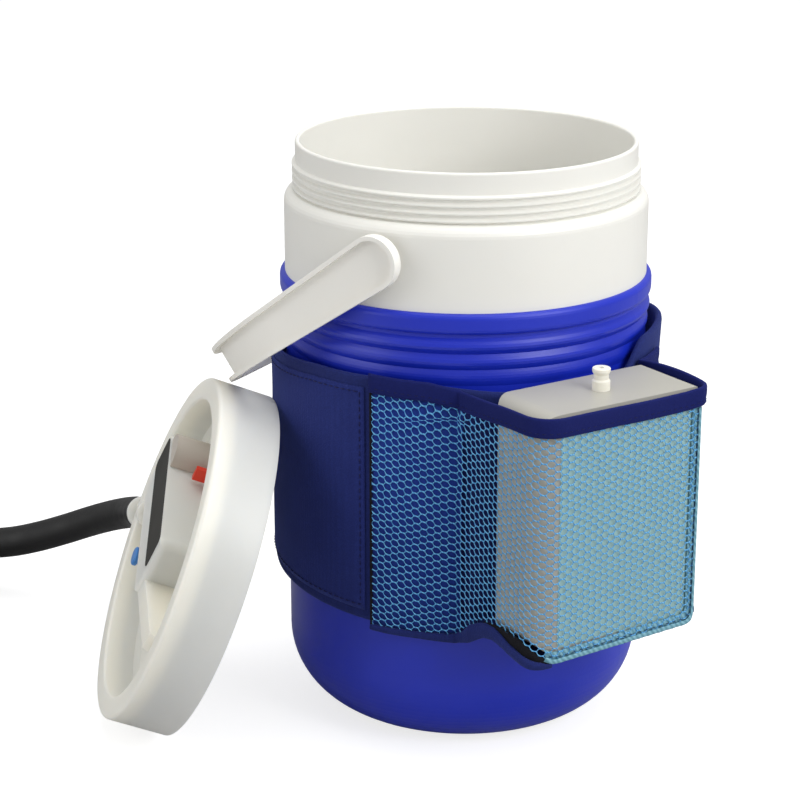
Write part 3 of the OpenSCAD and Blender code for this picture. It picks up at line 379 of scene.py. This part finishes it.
def loft(rings, closedAlong=False, caps=True):
    # rings of equal length become one skin; returns points and faces
    size, count = len(rings[0]), len(rings)
    points = [p for ring in rings for p in ring]
    faces = []
    for i in range(count if closedAlong else count - 1):
        for k in range(size):
            a, b = i * size + k, i * size + (k + 1) % size
            j = (i + 1) % count
            faces.append((a, b, j * size + (k + 1) % size, j * size + k))
    if caps and not closedAlong:
        faces.append(tuple(range(size - 1, -1, -1)))
        faces.append(tuple((count - 1) * size + k for k in range(size)))
    return points, faces


def ripple(place, size, amount):
    # a repeatable soft unevenness of the given size in millimetres
    return amount * noise.noise(Vector(place) / size)


def stitchLine(name, centres, normals, look, material, body):
    # a row of sewn stitches: short fat threads that dip at both ends
    distances = [0]
    for a, b in zip(centres, centres[1:]):
        distances.append(distances[-1] + (Vector(b) - Vector(a)).length)

    def along(distance):
        i = 0
        while i < len(distances) - 2 and distances[i + 1] < distance:
            i += 1
        part = (distance - distances[i]) / max(1e-6, distances[i + 1] - distances[i])
        return (Vector(centres[i]).lerp(Vector(centres[i + 1]), part),
                Vector(normals[i]).lerp(Vector(normals[i + 1]), part).normalized())

    points, faces = [], []
    start = look["gap"]
    while start + look["long"] < distances[-1]:
        rings = []
        for step in range(5):
            middle, up = along(start + look["long"] * step / 4)
            ahead, _ = along(start + look["long"] * step / 4 + 0.3)
            way = (ahead - middle).normalized()
            side = way.cross(up).normalized()
            rise = look["thick"] * (0.15 + 0.75 * math.sin(math.pi * step / 4))
            fat = look["thick"] * (0.55 if step in (0, 4) else 1)
            middle = middle + up * (rise - look["thick"] * 0.4)
            rings.append([tuple(middle + side * fat * math.cos(a) * 0.62 + up * fat * math.sin(a) * 0.5)
                          for a in (math.tau * k / 6 for k in range(6))])
        base = len(points)
        morePoints, moreFaces = loft(rings)
        points += morePoints
        faces += [tuple(base + v for v in face) for face in moreFaces]
        start += look["long"] + look["gap"]
    made = meshObject(name, points, faces, material)
    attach(made, body)
    return made


# Hose: one length of foam-covered tube from the lid to its coupling

hoseLook = {
    "diameter": 18.7, "turns": 1.5, "innerTurn": 92, "space": 1.1, "layer": 19.6, "centre": (-370, -123),
    "entry": 100, "low": 10.3,
    "start": (-190.154, -36.709, 83.718), "startWay": (-0.671937, 0.668862, -0.318002),
    "route": [(-219, -12.5, 70.5), (-237, -4, 62.5), (-255, -0.5, 54.5), (-273, -1, 46.5), (-291, -4, 39.5),
              (-309, -7.5, 34), (-327, -11.5, 31), (-345, -15, 30)],
}


def hosePoints(look):
    diameter = look["diameter"]
    pitch = diameter + look["space"]
    start, way = Vector(look["start"]), Vector(look["startWay"])
    points = [start, start + way * diameter * 0.5, start + way * diameter]
    points += [Vector(p) for p in look["route"]]
    coil = []
    steps = round(24 * look["turns"])
    for i in range(steps + 1):
        turn = look["turns"] * i / steps
        angle = math.radians(look["entry"] + 360 * turn)
        radius = look["innerTurn"] + pitch * abs(turn - 0.5)
        fall = min(1, max(0, (turn - 0.25) * 2))
        height = look["low"] + look["layer"] * (1 + math.cos(math.pi * fall)) / 2
        coil.append(Vector((look["centre"][0] + radius * math.cos(angle),
                            look["centre"][1] + radius * math.sin(angle), height)))
    first = math.radians(look["entry"])
    last = math.radians(look["entry"] + 360 * look["turns"])
    points.append(coil[0] - Vector((-math.sin(first), math.cos(first), 0)) * diameter)
    points += coil
    points.append(coil[-1] + Vector((-math.sin(last), math.cos(last), 0)) * diameter)
    return points


hoseLine = hosePoints(hoseLook)
hoseCurve = bpy.data.curves.new("foamHose", "CURVE")
hoseCurve.dimensions = "3D"
hoseCurve.resolution_u = 6
hoseCurve.bevel_depth = hoseLook["diameter"] / 2000
hoseCurve.bevel_resolution = 6
hoseCurve.use_fill_caps = True
hoseSpline = hoseCurve.splines.new("BEZIER")
hoseSpline.bezier_points.add(len(hoseLine) - 1)
for i, point in enumerate(hoseLine):
    knot = hoseSpline.bezier_points[i]
    before, after = hoseLine[max(0, i - 1)], hoseLine[min(len(hoseLine) - 1, i + 1)]
    way = (after - before).normalized()
    knot.co = point * 0.001
    knot.handle_left = (point - way * (point - before).length / 3) * 0.001
    knot.handle_right = (point + way * (after - point).length / 3) * 0.001
hoseCurve.materials.append(hoseFoam)
foamHose = linkObject("foamHose", hoseCurve)
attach(foamHose, "lid")
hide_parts("hose_run", "hose_coil")

# The strap that holds the coil: a woven band with an overlapped end
tieLook = {"turn": 0.05, "wide": 12, "thick": 1.0}


def makeTie():
    pitch = hoseLook["diameter"] + hoseLook["space"]
    top = hoseLook["innerTurn"] + pitch * (0.5 - tieLook["turn"])
    bottom = hoseLook["innerTurn"] + pitch * (0.5 + tieLook["turn"])
    angle = math.radians(hoseLook["entry"] + 360 * tieLook["turn"])
    out = Vector((math.cos(angle), math.sin(angle), 0))
    along = Vector((-math.sin(angle), math.cos(angle), 0))
    centre = Vector((hoseLook["centre"][0], hoseLook["centre"][1], 0))
    radius = hoseLook["diameter"] / 2 + 0.2
    low, high = hoseLook["low"], hoseLook["low"] + hoseLook["layer"]
    path = []
    for k in range(41):
        turn = math.tau * k / 40
        up = math.sin(turn) > 0
        middle = centre + out * (top if up else bottom) + Vector((0, 0, high if up else low))
        path.append((middle, out * math.cos(turn) + Vector((0, 0, math.sin(turn)))))
    rings = []
    for k, (middle, away) in enumerate(path):
        lap = 0.7 if 8 < k < 15 else 0
        inner, outer = middle + away * (radius + 0.02), middle + away * (radius + tieLook["thick"] * 0.65 + lap)
        half = tieLook["wide"] / 2
        rings.append([tuple(inner - along * half), tuple(inner + along * half),
                      tuple((inner + outer) / 2 + along * (half + 0.3)), tuple(outer + along * half),
                      tuple(outer - along * half), tuple((inner + outer) / 2 - along * (half + 0.3))])
    points, faces = loft(rings[:-1], closedAlong=True)
    points = [(p[0], p[1], max(0.15, p[2])) for p in points]
    made = meshObject("coilStrap", points, faces, strapNylon)
    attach(made, "lid")
    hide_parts("hose_tie")
    return made


coilStrap = makeTie()


# Neoprene sleeve round the jug

sleeveLook = {
    "inner": 100.8, "outer": 104.4, "hemInner": 97.0, "hem": 10,
    "topFront": [(-113.4, 204), (-40, 212), (20, 213), (60, 208), (113.4, 204)],
    "topRear": [(-113.4, 204), (113.4, 222)], "lowFront": 78, "lowFall": 6, "flare": 4.0, "flareAt": 38,
}


def onLine(line, x):
    for (x0, z0), (x1, z1) in zip(line, line[1:]):
        if x <= x1:
            return z0 + (z1 - z0) * (x - x0) / (x1 - x0)
    return line[-1][1]


def sleeveTop(angle):
    # height of the top edge at an angle from +X, eased where front and rear meet on the right
    x = sleeveLook["outer"] * math.cos(angle)
    front, rear = onLine(sleeveLook["topFront"], x), onLine(sleeveLook["topRear"], x)
    turned = (math.degrees(angle) + 180) % 360 - 180
    if turned < -90 or turned > 90:
        return front if turned < 0 else rear
    part = min(1, max(0, (turned + 14) / 16))
    return front + (rear - front) * part * part * (3 - 2 * part)


def sleeveLow(angle):
    return sleeveLook["lowFront"] - sleeveLook["lowFall"] * sleeveLook["outer"] * math.cos(angle) / 113.4


def makeSleeve():
    look = sleeveLook
    rings = []
    for step in range(288):
        angle = math.tau * step / 288
        top, low = sleeveTop(angle), sleeveLow(angle)
        flare = look["flare"] * math.exp(-((math.degrees(angle) - look["flareAt"]) / 16) ** 2)
        ring = [(look["hemInner"] + 0.3, low + 1.2), (look["hemInner"] + 1.2, low + 0.2),
                (look["outer"] - 1.6, low), (look["outer"] - 0.4, low + 1.2), (look["outer"], low + 3)]
        for k in range(1, 14):
            ring.append((look["outer"], low + 3 + (top - low - 6) * k / 14))
        ring += [(look["outer"], top - 3), (look["outer"] - 0.3, top - 1.3), (look["outer"] - 1.2, top - 0.3),
                 (look["inner"] + 1.2, top - 0.3), (look["inner"] + 0.3, top - 1.3), (look["inner"], top - 3),
                 (look["inner"], top - 40), (look["inner"], low + 40), (look["inner"], low + look["hem"] + 4),
                 (look["hemInner"] + 0.2, low + look["hem"])]
        placed = []
        for radius, height in ring:
            x, y = radius * math.cos(angle), radius * math.sin(angle)
            push = flare * min(1, max(0, (height - low - 60) / (top - low - 70))) ** 2
            if radius > look["outer"] - 0.6 and low + 4 < height < top - 4:
                push += ripple((x, y, height), 26, 0.35) - 0.3 + ripple((x, y, height * 0.3), 9, 0.12)
            placed.append(((radius + push) * math.cos(angle), (radius + push) * math.sin(angle), height))
        rings.append(placed)
    points, faces = loft(rings, closedAlong=True)
    made = meshObject("neopreneSleeve", points, faces, sleeveNeoprene)
    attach(made, "jug")
    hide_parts("sleeve")
    return made


makeSleeve()

# The stitched panel on the sleeve's left front
panelLook = {"from": -178, "to": -93, "under": 104.45, "thick": 0.85, "margin": 6}


def makePanel():
    look = panelLook
    columns, rows = 120, 30
    edges = []
    rings = []
    for i in range(columns + 1):
        angle = math.radians(look["from"] + (look["to"] - look["from"]) * i / columns)
        top, low = sleeveTop(angle) - look["margin"], sleeveLow(angle) + look["margin"]
        edges.append((angle, low, top))
        sideFade = min(1, min(i, columns - i) / 2)
        outer, inner = [], []
        for k in range(rows + 1):
            part = k / rows
            height = low + (top - low) * part
            fade = min(1, min(part, 1 - part) * rows) * sideFade
            radius = look["under"] + 0.15 + (look["thick"] - 0.15) * (0.35 + 0.65 * fade)
            x, y = radius * math.cos(angle), radius * math.sin(angle)
            radius += fade * (ripple((x, y, height), 22, 0.25) - 0.12)
            outer.append((radius * math.cos(angle), radius * math.sin(angle), height))
        for height in (top, low):
            inner.append((look["under"] * math.cos(angle), look["under"] * math.sin(angle), height))
        rings.append(outer + inner)
    points, faces = loft(rings)
    made = meshObject("neoprenePanel", points, faces, panelNeoprene)
    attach(made, "jug")
    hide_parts("sleeve_panel")
    inset, radius = 2.6, look["under"] + look["thick"] - 0.1
    turn = inset / radius
    line = []
    first, last = edges[0][0] + turn, edges[-1][0] - turn
    count = 60
    for k in range(count + 1):
        line.append((first + (last - first) * k / count, "low"))
    for k in range(1, 31):
        line.append((last, k / 31))
    for k in range(count + 1):
        line.append((last + (first - last) * k / count, "top"))
    centres, normals = [], []
    for angle, part in line:
        low, top = sleeveLow(angle) + look["margin"] + inset, sleeveTop(angle) - look["margin"] - inset
        height = low if part == "low" else top if part == "top" else low + (top - low) * part
        normals.append((math.cos(angle), math.sin(angle), 0))
        centres.append((radius * math.cos(angle), radius * math.sin(angle), height))
    stitchLine("panelStitches", centres, normals, {"long": 3.0, "gap": 1.0, "thick": 0.5}, darkThread, "jug")
    return made


makePanel()
print("sleeve and panel sewn")


# Net pocket: its wall is a line seen from above, and pieces are placed by the distance along it
pocketLook = {
    "radius": 105.4, "heading": 60.7, "left": -58.4, "right": 40.6, "front": -150, "corner": 12, "edge": 4,
    "gap": 1.3, "start": -1, "fold": 25, "end": 101, "floor": 84.6, "net": 0.8,
    "tapeWide": 10, "tapeThick": 2.2, "tapeLine": [(-20, 216), (30, 213.5), (46, 209.5), (76, 211), (250, 211)],
}


def pocketPath(off):
    # the pocket's wall seen from above, from its left end to its right one, in the pump's frame
    look = pocketLook
    toPump = -90 - look["heading"]
    radius = look["radius"]
    cornerLeft = (look["left"] + look["corner"], look["front"] + look["corner"])
    cornerRight = (look["right"] - look["edge"], look["front"] + look["edge"])
    foldAt = math.radians(look["fold"] + toPump)
    reach = (cornerLeft[0] - radius * math.cos(foldAt), cornerLeft[1] - radius * math.sin(foldAt))
    leftRound = look["corner"] + look["gap"]
    normal = math.atan2(reach[1], reach[0]) - math.asin(leftRound / math.hypot(*reach)) - math.pi / 2
    distance = cornerLeft[0] * math.cos(normal) + cornerLeft[1] * math.sin(normal) + leftRound
    foldAngle = normal + math.acos((distance + off) / (radius + off))
    sideAngle = -math.acos((look["right"] + look["gap"] + off) / (radius + off))

    def arc(centre, r, start, end, count):
        return [(centre[0] + r * math.cos(start + (end - start) * k / count),
                 centre[1] + r * math.sin(start + (end - start) * k / count)) for k in range(count + 1)]

    line = arc((0, 0), radius + off, math.radians(look["start"] + toPump), foldAngle - 0.02, 24)
    line.append(((radius + off) * math.cos(foldAngle), (radius + off) * math.sin(foldAngle)))
    line += arc(cornerLeft, leftRound + off, normal, -math.pi / 2, 14)
    line += arc(cornerRight, look["edge"] + look["gap"] + off, -math.pi / 2, 0, 8)
    line.append(((radius + off) * math.cos(sideAngle), (radius + off) * math.sin(sideAngle)))
    line += arc((0, 0), radius + off, sideAngle + 0.02, math.radians(look["end"] + toPump), 14)
    turn = math.radians(look["heading"])
    return [(x * math.cos(turn) - y * math.sin(turn), x * math.sin(turn) + y * math.cos(turn)) for x, y in line]


wallLine = pocketPath(pocketLook["net"] / 2)
wallLength = [0]
for a, b in zip(wallLine, wallLine[1:]):
    wallLength.append(wallLength[-1] + math.dist(a, b))
wallNormals = []
for i in range(len(wallLine)):
    a, b = wallLine[max(0, i - 1)], wallLine[min(len(wallLine) - 1, i + 1)]
    long = math.dist(a, b)
    wallNormals.append(((b[1] - a[1]) / long, -(b[0] - a[0]) / long))
wallEnd = wallLength[-1]
foldMark = wallLength[25]
boxLeft, boxFront, boxRight, boxBack = wallLength[26], wallLength[40], wallLength[41], wallLength[50]
print("pocket wall:", round(wallEnd, 1), "mm, fold at", round(foldMark, 1), "box", round(boxLeft, 1),
      round(boxFront, 1), round(boxRight, 1), round(boxBack, 1))


def onWall(s, z, off=0.0):
    # a point of the pocket's wall at a distance along it, with an offset outwards
    s = min(max(s, 0), wallEnd)
    i = 0
    while i < len(wallLength) - 2 and wallLength[i + 1] < s:
        i += 1
    part = (s - wallLength[i]) / (wallLength[i + 1] - wallLength[i])
    x = wallLine[i][0] + (wallLine[i + 1][0] - wallLine[i][0]) * part
    y = wallLine[i][1] + (wallLine[i + 1][1] - wallLine[i][1]) * part
    nx = wallNormals[i][0] + (wallNormals[i + 1][0] - wallNormals[i][0]) * part
    ny = wallNormals[i][1] + (wallNormals[i + 1][1] - wallNormals[i][1]) * part
    size = math.hypot(nx, ny)
    return (x + off * nx / size, y + off * ny / size, z), (nx / size, ny / size, 0)


def tapeTop(s):
    return onLine(pocketLook["tapeLine"], onWall(s, 0)[0][0])


def ease(value, start, end):
    part = min(1, max(0, (value - start) / (end - start)))
    return part * part * (3 - 2 * part)


# The net hangs lower on the sleeve, lifts over an arch in its hem and wraps under the pump
netLook = {
    "cellWide": 3.75, "cellHigh": 3.9, "holeWide": 2.4, "holeHigh": 1.65, "thick": 0.45,
    "lean": [(0, 0), (48, 12), (112, 21), (300, 27)],
    "low": [(0, 76.5), (45, 75.5), (51, 78), (58, 85), (70, 91), (82, 92.5), (100, 91.5), (106, 88.5),
            (112, 85), (118, 82.5), (147, 83), (195, 84), (300, 86)],
    "crease": [(0, 188.5), (12, 190.5), (33, 194), (52, 195)],
    "gather": {"from": (2, 30), "to": (53, 58), "spread": 4.5, "draw": 0.72, "lift": 0.6},
    "knot": {"height": 195, "wide": 5, "high": 8, "draw": 0.35, "lift": 0.4},
    "fold": {"wide": 3, "draw": 0.3, "lift": 0.35}, "drift": 1.3, "side": 1.2,
}


def netWarp(s, z):
    # the net as it hangs: a gathered line near the top left, a knot at its end, a fold below and small drift
    gather, knot, fold = netLook["gather"], netLook["knot"], netLook["fold"]
    z -= onLine(netLook["lean"], s)
    crease = onLine(netLook["crease"], s)
    reach = ease(s, *gather["from"]) * (1 - ease(s, *gather["to"]))
    near = math.exp(-((z - crease) / gather["spread"]) ** 2) * reach
    off = gather["lift"] * near
    z -= (z - crease) * gather["draw"] * near
    atKnot = math.exp(-((s - foldMark - 2) / knot["wide"]) ** 2 - ((z - knot["height"]) / knot["high"]) ** 2)
    atFold = math.exp(-((s - foldMark) / fold["wide"]) ** 2)
    s -= (s - foldMark - 1) * (fold["draw"] * atFold + knot["draw"] * atKnot)
    off += fold["lift"] * atFold + knot["lift"] * atKnot
    drift = noise.noise(Vector((s / 21, z / 25, 3.1))) * netLook["drift"]
    side = noise.noise(Vector((s / 27, z / 19, 8.7))) * netLook["side"]
    return s + side, z + drift, off


def makeNet():
    look = netLook
    wide, high = look["cellWide"], look["cellHigh"]
    corners = [(2 / 3, 0), (1 / 2, 1 / 4), (1 / 3, 1 / 2), (0, 1 / 2), (-1 / 3, 1 / 2), (-1 / 2, 1 / 4),
               (-2 / 3, 0), (-1 / 2, -1 / 4), (-1 / 3, -1 / 2), (0, -1 / 2), (1 / 3, -1 / 2), (1 / 2, -1 / 4)]
    points, faces, known = [], [], {}

    def border(s, z):
        key = (round(s, 2), round(z, 2))
        if key not in known:
            ws, wz, off = netWarp(s, z)
            known[key] = len(points)
            points.append(onWall(ws, wz, off + look["thick"] / 2)[0])
        return known[key]

    for column in range(int(wallEnd / wide)):
        sc = (column + 0.8) * wide
        for row in range(45):
            zc = 72 + (row + 0.5 * (column % 2)) * high
            hang = zc - onLine(look["lean"], sc)
            if hang < onLine(look["low"], sc) + 1.2 or hang > tapeTop(sc) - 5 or sc > wallEnd - wide:
                continue
            outer = [border(sc + cx * wide, zc + cz * high) for cx, cz in corners]
            inner = []
            for k, (cx, cz) in enumerate(corners):
                # the knitted holes are rounder than their cells
                turn = math.tau * k / 12
                hs = 0.5 * look["holeWide"] * math.cos(turn) + 0.4 * cx * wide
                hz = 0.5 * look["holeHigh"] * math.sin(turn) + 0.4 * cz * high
                ws, wz, off = netWarp(sc + hs, zc + hz)
                inner.append(len(points))
                points.append(onWall(ws, wz, off - look["thick"] / 2)[0])
            for k in range(12):
                faces.append((outer[k], outer[(k + 1) % 12], inner[(k + 1) % 12], inner[k]))
    made = meshObject("pocketMesh", points, faces, netYarn)
    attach(made, "jug")
    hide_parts("pocket_net")
    return made


# The bare label film on the front of the pump's case, in the pump's frame
labelLook = {"left": -46.6, "right": 37.0, "low": 89.6, "top": 206.5, "corner": 3, "thick": 0.2}


def makeLabel():
    look = labelLook
    turn = math.radians(pocketLook["heading"])
    outline = []
    for part, (x, z) in enumerate([(look["right"], look["low"]), (look["right"], look["top"]),
                                   (look["left"], look["top"]), (look["left"], look["low"])]):
        middle = (x - look["corner"] * (1 if x > 0 else -1), z - look["corner"] * (1 if z > 150 else -1))
        for k in range(7):
            angle = math.pi / 2 * (part - 1 + k / 6)
            outline.append((middle[0] + look["corner"] * math.cos(angle),
                            middle[1] + look["corner"] * math.sin(angle)))
    rings = []
    for lift, inset in ((0.01, 0), (look["thick"] * 0.7, 0), (look["thick"], 0.15)):
        y = pocketLook["front"] - lift
        ring = []
        for x, z in outline:
            x -= inset * (1 if x > 0 else -1)
            z -= inset * (1 if z > 150 else -1)
            ring.append((x * math.cos(turn) - y * math.sin(turn), x * math.sin(turn) + y * math.cos(turn), z))
        rings.append(ring)
    points, faces = loft(rings)
    made = meshObject("pumpLabelFilm", points, faces, paleFilmNetShadow, smooth=False)
    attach(made, "pump")
    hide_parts("pump_label")
    return made


makeLabel()
pocketMesh = makeNet()
print("net knitted:", len(pocketMesh.data.polygons), "faces")


def bandAlong(name, start, end, step, section, material):
    # a closed band along the wall; section(s) gives its outline as offset and height
    rings = []
    count = max(2, round((end - start) / step))
    for i in range(count + 1):
        s = start + (end - start) * i / count
        rings.append([onWall(s, z, off)[0] for off, z in section(s)])
    points, faces = loft(rings)
    made = meshObject(name, points, faces, material)
    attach(made, "jug")
    return made


# The binding bows out and rises a little behind the pump's right end
tapeLook = {"bow": 2.6, "lift": 2.6, "out": 0.35, "drift": 0.4, "puff": 0.3, "stitched": 0.75}


def tapeAway(s):
    part = min(1, max(0, (s - boxRight + 6) / (boxBack - boxRight + 10)))
    swell = math.sin(math.pi * part) ** 0.8 if 0 < part < 1 else 0
    return tapeLook["out"] + tapeLook["bow"] * swell, tapeLook["lift"] * swell


def tapeSection(s):
    bow, lift = tapeAway(s)
    top = tapeTop(s) + lift + tapeLook["drift"] * noise.noise(Vector((s / 31, 4.3, 1)))
    half, wide = pocketLook["tapeThick"] / 2, pocketLook["tapeWide"]
    puff = tapeLook["puff"] * noise.noise(Vector((s / 13, 0.3, 5)))
    turns = [math.pi * k / 8 for k in range(9)]
    outline = [(half * math.cos(turn), top - half + half * math.sin(turn)) for turn in turns]
    outline += [(-half * 0.95, top - wide * 0.4), (-half * 0.9, top - wide * 0.7),
                (-half * 0.45, top - wide + 0.2), (half * 0.45, top - wide),
                (half * 0.95, top - wide + 0.9 + puff), (half * 0.7, top - wide * 0.74),
                (half * 1.05 + puff * 0.4, top - wide * 0.45)]
    return [(off + bow, z) for off, z in outline]


pocketTape = bandAlong("pocketBinding", 0.0, wallEnd, 2.0, tapeSection, tapeNylon)
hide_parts("pocket_tape")


def stitchWall(name, line, lift, look, material):
    # stitches along a line of distances and heights on the pocket's wall
    centres, normals = [], []
    for s, z, off in line:
        place, away = onWall(s, z, off + lift)
        centres.append(place)
        normals.append(away)
    stitchLine(name, centres, normals, look, material, "jug")


tapeStitchLine = []
for i in range(160):
    s = 2 + (wallEnd - 4) * i / 159
    bow, lift = tapeAway(s)
    tapeStitchLine.append((s, tapeTop(s) + lift - pocketLook["tapeWide"] * tapeLook["stitched"], bow))
stitchWall("bindingStitches", tapeStitchLine, pocketLook["tapeThick"] / 2 * 0.72,
           {"long": 2.2, "gap": 1.4, "thick": 0.3}, darkThread)


# The net's rolled seam: along the bottom of the pump, round its corner and up the right side
seamLook = {"start": 114, "side": 207.5, "top": 201, "corner": 6, "half": 1.3, "out": 0.65, "inset": 2.6}


def seamPath(inset):
    look = seamLook
    path = []
    right = look["side"] - inset
    radius = look["corner"] - inset * 0.5
    count = 60
    for i in range(count + 1):
        s = look["start"] + (right - radius - look["start"]) * i / count
        path.append((s, onLine(netLook["low"], s) + 1.2 + inset))
    base = path[-1][1]
    for i in range(1, 9):
        turn = math.pi / 2 * i / 8
        path.append((right - radius + radius * math.sin(turn), base + radius * (1 - math.cos(turn))))
    for i in range(1, 71):
        path.append((right, base + radius + (look["top"] - base - radius) * i / 70))
    return path


def makeSeam():
    path = seamPath(0)
    rings = []
    for i, (s, z) in enumerate(path):
        before, after = path[max(0, i - 1)], path[min(len(path) - 1, i + 1)]
        long = math.dist(before, after)
        ns, nz = -(after[1] - before[1]) / long, (after[0] - before[0]) / long
        fat = seamLook["half"] * (1 + 0.06 * math.sin(i * 1.3))
        ring = []
        for k in range(10):
            turn = math.tau * k / 10
            ring.append(onWall(s + ns * fat * math.cos(turn), z + nz * fat * math.cos(turn),
                               0.3 + seamLook["out"] * math.sin(turn))[0])
        rings.append(ring)
    points, faces = loft(rings)
    made = meshObject("pocketRolledSeam", points, faces, seamYarn)
    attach(made, "jug")
    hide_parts("pocket_seam")
    return made


makeSeam()


# The folded seam allowance, a close strip behind the net along its rolled edge
allowanceLook = {"outer": 0.4, "inner": 5, "front": -0.35, "back": -0.75}


def makeAllowance():
    look = allowanceLook
    outer, inner = seamPath(look["outer"]), seamPath(look["inner"])
    rings = []
    for (s0, z0), (s1, z1) in zip(outer, inner):
        rings.append([onWall(s0, z0, look["front"])[0], onWall(s1, z1, look["front"])[0],
                      onWall(s1, z1, look["back"])[0], onWall(s0, z0, look["back"])[0]])
    points, faces = loft(rings)
    made = meshObject("pocketSeamAllowance", points, faces, seamYarn)
    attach(made, "jug")
    return made


makeAllowance()
stitchWall("seamStitches", [(s, z, 0.25) for s, z in seamPath(seamLook["inset"])], 0.3,
           {"long": 2.4, "gap": 2.2, "thick": 0.34}, darkThread)


# The neoprene hem under the net, with its arch
hemLook = {
    "top": [(0, 78), (45, 77.5), (51, 80), (58, 86.5), (66, 90.5), (72, 92.5), (80, 92.5), (86, 90.5), (92, 88),
            (100, 86.3), (107, 84.3), (113, 83.5), (120, 82.5)],
    "bottom": [(0, 74.5), (9, 74), (28, 73.6), (39, 72.8), (47, 72.3), (58, 76.4), (66, 81.2), (71, 84),
               (79, 85.4), (87, 84), (92, 82.4), (100.7, 80.6), (107, 79.2), (112, 79.6), (120, 81)],
    "thick": 1.5, "end": 117.5,
}


def hemSection(s):
    top, bottom = onLine(hemLook["top"], s), onLine(hemLook["bottom"], s)
    middle = (top + bottom) / 2
    out = -0.2 + 0.9 * ease(s, 50, 60) - 0.5 * ease(s, 108, 117)
    thick = hemLook["thick"] * (1 - 0.5 * ease(s, 110, 117))
    return [(out, top), (out + thick * 0.7, top - 0.5), (out + thick, middle + 0.5),
            (out + thick, middle - 0.6), (out + thick * 0.75, bottom + 0.4),
            (out + thick * 0.2, bottom), (out - 0.3, bottom + 0.6), (out - 0.3, middle)]


# Behind the pump the hem is a plain strip that drops from the seam's corner
rearHemLook = {"past": 2.5, "rise": 5, "drop": (209, 224),
               "outline": [(-0.3, -1.2), (-0.3, 3), (0.3, 3.4), (1.0, 2.4), (1.1, 0), (0.5, -1.4)]}


def rearHemSection(s):
    low = onLine(netLook["low"], s) + rearHemLook["rise"] * (1 - ease(s, *rearHemLook["drop"]))
    return [(out, low + up) for out, up in rearHemLook["outline"]]


rearHem = bandAlong("pocketRearHem", seamLook["side"] + rearHemLook["past"], wallEnd, 1.3, rearHemSection,
                    sleeveNeoprene)
pocketHem = bandAlong("pocketHem", 0.3, hemLook["end"], 1.3, hemSection, sleeveNeoprene)


# A near-black strip between the hem and the net beside the pump: painted shade where the hem's top folds in
foldShadeLook = {"start": 70, "end": 116, "under": 1.2, "over": 1.6, "least": 0.6}


def foldShadeSection(s):
    look = foldShadeLook
    low, high = onLine(hemLook["top"], s) - look["under"], onLine(netLook["low"], s) + look["over"]
    high = max(high, low + look["least"])
    return [(0.5, low), (0.55, (low + high) / 2), (0.1, high), (-0.5, high), (-0.6, low)]


pocketFoldShade = bandAlong("pocketFoldShade", foldShadeLook["start"], foldShadeLook["end"], 1.3, foldShadeSection,
                         shadeNeopreneBlack)


def uprightBead(name, s, low, high, material, fat):
    rings = []
    count = int((high - low) / 1.5)
    for i in range(count + 1):
        z = low + (high - low) * i / count
        wobble = 0.08 * math.sin(i * 1.9)
        rings.append([onWall(s + fat * (1 + math.cos(math.tau * k / 8)), z,
                             wobble + 0.5 * fat * math.sin(math.tau * k / 8))[0] for k in range(8)])
    points, faces = loft(rings)
    made = meshObject(name, points, faces, material)
    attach(made, "jug")
    return made


# A brighter knit sheet behind the net where it lies on the sleeve: painted light on the sleeve seen through the
# holes
paintedLightLook = {"start": 1.5, "past": 1, "below": 0.5, "under": 3, "front": -0.62, "back": -1.0}


def paintedLightSection(s):
    look = paintedLightLook
    low, high = onLine(netLook["low"], s) - look["below"], tapeTop(s) - look["under"]
    return [(look["front"], low), (look["front"], high), (look["back"], high), (look["back"], low)]


pocketPaintedLight = bandAlong("pocketPaintedLight", paintedLightLook["start"], foldMark + paintedLightLook["past"], 1.3, paintedLightSection,
                         paintedLightKnit)
# The left seam bead is near-black: painted shadow of the gap between the panel's edge and the net
uprightBead("pocketLeftSeamShade", -0.3, 76, 206, shadeNeopreneBlack, 0.8)
uprightBead("pocketRightSeam", wallEnd - 2.4, 86, 205, sleeveNeoprene, 1.2)


# The pocket's neoprene floor under the pump
floorLook = {"thick": 1.0, "inset": -2, "radius": 105.0, "ripple": (20, 0.3)}


def makeFloor():
    thick, low = floorLook["thick"], pocketLook["floor"]
    outline = []
    for i in range(60):
        s = foldMark + 3 + (boxBack - foldMark - 4) * i / 59
        outline.append(onWall(s, 0, floorLook["inset"])[0][:2])
    first, last = outline[0], outline[-1]
    a0, a1 = math.atan2(last[1], last[0]), math.atan2(first[1], first[0])
    for i in range(1, 14):
        angle = a0 + (a1 - a0) * i / 14
        outline.append((floorLook["radius"] * math.cos(angle), floorLook["radius"] * math.sin(angle)))
    bottom = [(x, y, low + ripple((x, y, 0), *floorLook["ripple"])) for x, y in outline]
    top = [(x, y, low + thick) for x, y in outline]
    size = len(outline)
    faces = [tuple(range(size - 1, -1, -1)), tuple(range(size, 2 * size))]
    faces += [(k, (k + 1) % size, size + (k + 1) % size, size + k) for k in range(size)]
    made = meshObject("pocketFloor", bottom + top, faces, sleeveNeoprene, smooth=False)
    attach(made, "jug")
    return made


makeFloor()
print("pocket sewn")
